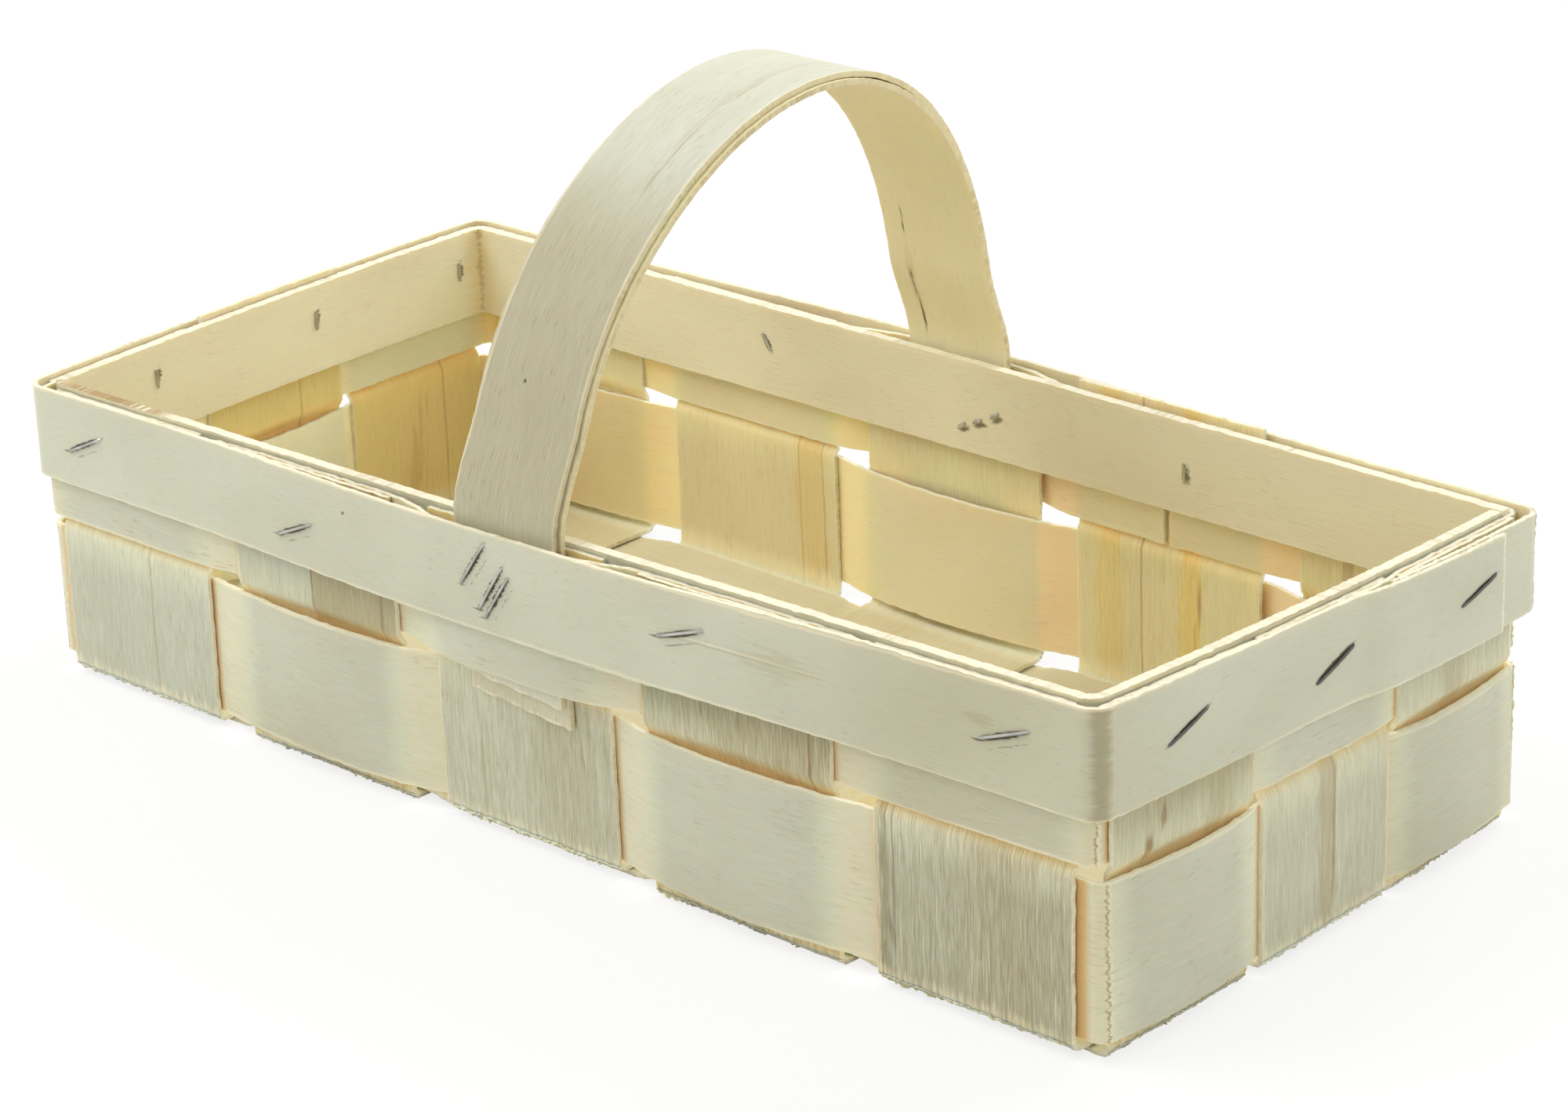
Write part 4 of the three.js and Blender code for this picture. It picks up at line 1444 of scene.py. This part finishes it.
class BASKET_OT_bow(bpy.types.Operator):
    """Bends the two plies of the bow"""

    bl_idname = "basket.bow"
    bl_label = "Bow handle"

    def execute(self, context):
        weave = weave_of(context)
        s, c = weave.sizes, palette(context)
        half_ply = s.ply / 2 + PLY_CLEARANCE
        plies = (
            ("outer", half_ply, s.outer_ply_end, 0.0, 0.0, (1.01, 1.02, 1.05), 59),
            ("inner", -half_ply, s.inner_ply_end, -s.ply_split, s.ply_shift, (0.97, 0.94, 0.86), 61),
        )
        inside_marks = [
            Mark(0.0545, 0.0055, 0.0145, 0.00042, c.crack, 0.85, 0.7, 0.8),
            Mark(0.0545, 0.0055, 0.018, 0.0012, c.knot, 0.25, 0.9, 0.4),
        ]
        for name, shift, end, split, aside, tint, seed in plies:
            path = weave.handle_path(shift, end, split)
            # Painted shade darkens the bow's cut edges; the warm inside tint partly paints light coming
            # through the thin bow
            look = look_of(
                c, f"bow_{name}", s.handle_width, seed=seed - 25, coarse=0.3, flecks=0.5,
                tint=tint, warm=(1.07, 1.05, 0.99), marks=self.marks(s, c, lengths(path)[-1], aside),
                inside_marks=inside_marks, glow=0.4, shaded_edge_tint=(0.88, 0.84, 0.72),
            )
            piece = bent_strip(
                weave, f"bow_{name}_ply", path, s.handle_width, s.ply, look,
                rotation=(math.pi / 2, 0, math.pi / 2),
                location=(weave.handle_centre - s.handle_width / 2 + aside, 0, 0),
                rows=14, fuzz=0.0001, ripple=0.5, seed=seed, slant=s.ply_slant,
            )
            settle(piece, f"handle_{name}_ply")
        return {"FINISHED"}

    def marks(self, s, c, far, aside):
        """Growth streak, knots and slanted ends of a ply, and painted light on the side of one that stands
        out, where the other ply shades it.
        """
        middle = s.handle_width / 2
        askew = -math.atan(s.ply_slant / s.handle_width)
        marks = [
            bar(far - 0.068, 0.055, scaled(c.growth, 0.9), 0.68, 0.6, 0.02),
            Mark(far * 0.52, 0.0185, 0.04, 0.0016, c.bark, 0.16, 0.9, 0.6),
            Mark(far * 0.56, 0.0195, 0.035, 0.0003, c.knot, 0.3, 0.9, 0.8),
            Mark(far - 0.064, 0.0115, 0.0006, 0.0005, c.crack, 0.9, 0.5),
            Mark(far - 0.003, middle, 0.007, 0.1, c.edge, 0.2, 0.6, 0.1, askew),
        ]
        # Painted light on the inner ply's side that stands out, against the outer ply's shade
        if aside:
            marks.append(Mark(far / 2, s.handle_width, far / 2 - 0.03, 0.0022, c.glow, 0.95, 0.4, 0.1))
        marks.append(Mark(far - s.ply_slant / 2, middle, 0.0008, 0.1, c.edge, 0.8, 0.8, 0.4, askew))
        return marks


Staple = namedtuple("Staple", "name wall along drop tilt lean")
# Each staple's strip, its shift along the wall and its depth below the rim in millimetres, and the turn of
# its crown and of its clinch in degrees
STAPLE_ROWS = {
    "front": (FRONT, [
        (0, -11.5, 10.5, 25, 70), (1, -1.7, 13.1, 23, 95), (3, -10.5, 8.4, 17, 80), (4, 8.9, 9.4, 19, 100),
    ]),
    "handle_front": (FRONT, [(2, -6.5, 7.2, 53, 150), (2, -1.6, 11.3, 55, 155), (2, 0, 12.9, 54, 150)]),
    "right": (RIGHT, [(0, -0.7, 9.9, 20, 85), (1, 0, 11.4, 22, 95), (2, 0.9, 9.2, 16, 90)]),
    "back": (BACK, [(1, 7.5, 8.5, 20, 62), (3, 6.8, 11.6, 20, 92)]),
    "handle_back": (BACK, [(2, 5.2, 15.2, 55, 150), (2, 9.8, 13.2, 55, 160), (2, 14.7, 10.8, 55, 155)]),
    "left": (LEFT, [(0, 6.8, 8, 20, 88), (1, 11.9, 8.4, 20, 95), (2, 13.2, 9.1, 20, 92)]),
}


def staples(weave):
    """Each staple's wall, its place along it and below the rim, and the turn of its crown and clinch."""
    for row, (wall, places) in STAPLE_ROWS.items():
        strips = weave.strips_on(wall)
        for k, (index, shift, drop, tilt, lean) in enumerate(places):
            along = side_of(wall) * (strips[index].centre + shift / 1000)
            yield Staple(f"{row}_{k + 1}", wall, along, drop / 1000, math.radians(tilt), math.radians(lean))


class BASKET_OT_staples(bpy.types.Operator):
    """Bends the wire staples that hold the rim and the bow"""

    bl_idname = "basket.staples"
    bl_label = "Wire staples"

    def execute(self, context):
        weave = weave_of(context)
        c = palette(context)
        bright = drawn_wire("staple_wire", c.wire)
        # The second wire is darker for the staples on the right wall: painted shade
        dull = drawn_wire("dull_staple_wire", c.dull_wire)
        for staple in staples(weave):
            piece = wire_staple(weave, staple)
            piece.data.materials.append(dull if staple.wall == RIGHT else bright)
            settle(piece, f"staple_{staple.name}")
        return {"FINISHED"}


# Shares of the wire's thickness by which the crowns and the tips stand out and the tips lie side by side,
# and the share of the tips' length at the bow
CROWN_RISE, TIP_RISE, TIP_ASIDE = 0.35, 0.3, 0.25
SHORT_CLINCH = 0.6


def wire_staple(weave, staple):
    """Round wire: a crown outside the rim, legs through it, and tips clinched on the inner hoop."""
    s = weave.sizes
    wall, along = staple.wall, staple.along
    outside = weave.outer_rim_offset(wall, along) + s.splint / 2 + s.wire * CROWN_RISE
    lining = weave.inner_rim_face
    half = s.crown / 2 - s.wire / 2
    lean = staple.lean - staple.tilt
    clinch = s.clinch * (SHORT_CLINCH if staple.name.startswith("handle") else 1.0)
    tip = Vector((math.cos(lean), 0, math.sin(lean))) * clinch / 2
    beside = Vector((math.sin(lean), 0, -math.cos(lean))) * s.wire * TIP_ASIDE
    inside = Vector((0, lining - s.wire * TIP_RISE, 0)) + beside
    leg = [
        inside + tip, inside + tip * 0.2, inside - tip * 0.6,
        Vector((-0.8 * tip.x, lining + 0.0006, -0.8 * tip.z)), Vector((0.0, lining + 0.0016, 0.0)),
    ]
    crown = [
        Vector((half, outside - 3 * STAPLE_BEND, 0)), Vector((half, outside - STAPLE_BEND, 0)),
        Vector((half - 0.3 * STAPLE_BEND, outside - 0.3 * STAPLE_BEND, 0)),
        Vector((half - STAPLE_BEND, outside, 0)), Vector((half * 0.4, outside + 0.0001, 0)),
    ]
    side = leg + crown
    points = side + [Vector((-p.x, p.y, -p.z)) for p in reversed(side)]
    piece = straight_curve(f"wire_staple_{staple.name}", [(p.x, -p.y, p.z) for p in points])
    piece.data.bevel_depth = s.wire / 2
    piece.data.bevel_resolution = 2
    piece.data.use_fill_caps = True
    pick(piece)
    bpy.ops.object.convert(target="MESH")
    piece = bpy.context.object
    piece.data.name = piece.name
    rise = weave.outer_rim_offset(wall, along + half) - weave.outer_rim_offset(wall, along - half)
    piece.data.transform(
        Matrix.Rotation(wall * math.pi / 2, 4, "Z")
        @ Matrix.Translation((along, -weave.wall_distance[wall], s.rim_top - staple.drop))
        @ Matrix.Rotation(-math.atan2(rise, 2 * half), 4, "Z")
        @ Matrix.Rotation(-staple.tilt, 4, "Y")
    )
    apply_modifier(piece, "LATTICE", object=bpy.data.objects["spring_cage"])
    return piece


# Floor, light and camera

FLOOR_SIZE = 12
LAMP_AIM = Vector((0, 0, 0.05))
# Name, place, size and strength of each lamp
LAMPS = (
    ("key_lamp", (-0.6, -0.5, 1.05), 0.9, 8.0),
    ("back_lamp", (0.15, 1.0, 0.9), 1.0, 9.0),
    ("side_lamp", (1.1, 0.15, 0.6), 0.9, 1.2),
)


class BASKET_OT_stage(bpy.types.Operator):
    """Sets the floor, the soft light and the camera"""

    bl_idname = "basket.stage"
    bl_label = "Stage"

    def execute(self, context):
        stage = context.scene.basket_stage
        bpy.ops.mesh.primitive_grid_add(x_subdivisions=2, y_subdivisions=2, size=FLOOR_SIZE)
        floor = context.object
        floor.name = "floor"
        floor.data.materials.append(pale_floor("pale_floor", palette(context).floor))
        self.world(context, stage)
        for settings in LAMPS:
            self.lamp(*settings)
        self.camera(context, stage)
        context.scene.view_settings.view_transform = "Standard"
        return {"FINISHED"}

    def world(self, context, stage):
        """Soft light from all round, seen as white."""
        world = bpy.data.worlds.new("studio")
        context.scene.world = world
        world.use_nodes = True
        tree = world.node_tree
        light, white = tree.nodes["Background"], tree.nodes.new("ShaderNodeBackground")
        for background, strength in ((light, stage.ambient), (white, 1.0)):
            background.inputs["Color"].default_value = (1, 1, 1, 1)
            background.inputs["Strength"].default_value = strength
        blend(tree, direct_view(tree), light, white, "World Output")

    def lamp(self, name, place, size, energy):
        lamp = bpy.data.lights.new(name, "AREA")
        lamp.shape = "DISK"
        lamp.size = size
        lamp.energy = energy
        holder = bpy.data.objects.new(name, lamp)
        holder.location = place
        holder.rotation_euler = (LAMP_AIM - Vector(place)).to_track_quat("-Z", "Y").to_euler()
        bpy.context.collection.objects.link(holder)

    def camera(self, context, stage):
        weave = weave_of(context)
        lens = bpy.data.cameras.new("camera")
        lens.sensor_width = 36
        lens.lens = stage.lens
        lens.clip_start = 0.01
        lens.clip_end = 50
        eye = bpy.data.objects.new("camera", lens)
        bpy.context.collection.objects.link(eye)
        a, e = stage.azimuth, stage.elevation
        forward = Vector((-math.sin(a) * math.cos(e), math.cos(a) * math.cos(e), -math.sin(e)))
        level = forward.cross(Vector((0, 0, 1))).normalized()
        upright = level.cross(forward)
        right = level * math.cos(stage.roll) + upright * math.sin(stage.roll)
        up = right.cross(forward)
        turn = Matrix((right, up, -forward)).transposed().to_4x4()
        eye.matrix_world = Matrix.Translation(Vector(stage.eye) + weave.shift) @ turn
        context.scene.camera = eye


class BASKET_PT_panel(bpy.types.Panel):
    """Steps that build the basket"""

    bl_idname = "BASKET_PT_panel"
    bl_label = "Bow handle basket"
    bl_space_type = "VIEW_3D"
    bl_region_type = "UI"
    bl_category = "Basket"

    def draw(self, context):
        for step in STEPS:
            self.layout.operator(step.bl_idname)
        self.layout.prop(context.scene.basket_colours, "outside")
        self.layout.prop(context.scene.basket_colours, "inside")


STEPS = (
    BASKET_OT_stage,
    BASKET_OT_cross_strips,
    BASKET_OT_long_strips,
    BASKET_OT_bands,
    BASKET_OT_rims,
    BASKET_OT_bow,
    BASKET_OT_staples,
)
GROUPS = {
    "basket_sizes": BasketSizes,
    "basket_colours": BasketColours,
    "basket_stage": StageSettings,
}


def register():
    for group in GROUPS.values():
        bpy.utils.register_class(group)
    for name, group in GROUPS.items():
        setattr(bpy.types.Scene, name, PointerProperty(type=group))
    for step in STEPS:
        bpy.utils.register_class(step)
    bpy.utils.register_class(BASKET_PT_panel)


def unregister():
    bpy.utils.unregister_class(BASKET_PT_panel)
    for step in reversed(STEPS):
        bpy.utils.unregister_class(step)
    for name, group in GROUPS.items():
        delattr(bpy.types.Scene, name)
        bpy.utils.unregister_class(group)


def main():
    register()
    for step in STEPS:
        group, name = step.bl_idname.split(".")
        getattr(getattr(bpy.ops, group), name)()
    bpy.data.objects.remove(bpy.data.objects["spring_cage"])


if __name__ == "__main__":
    main()
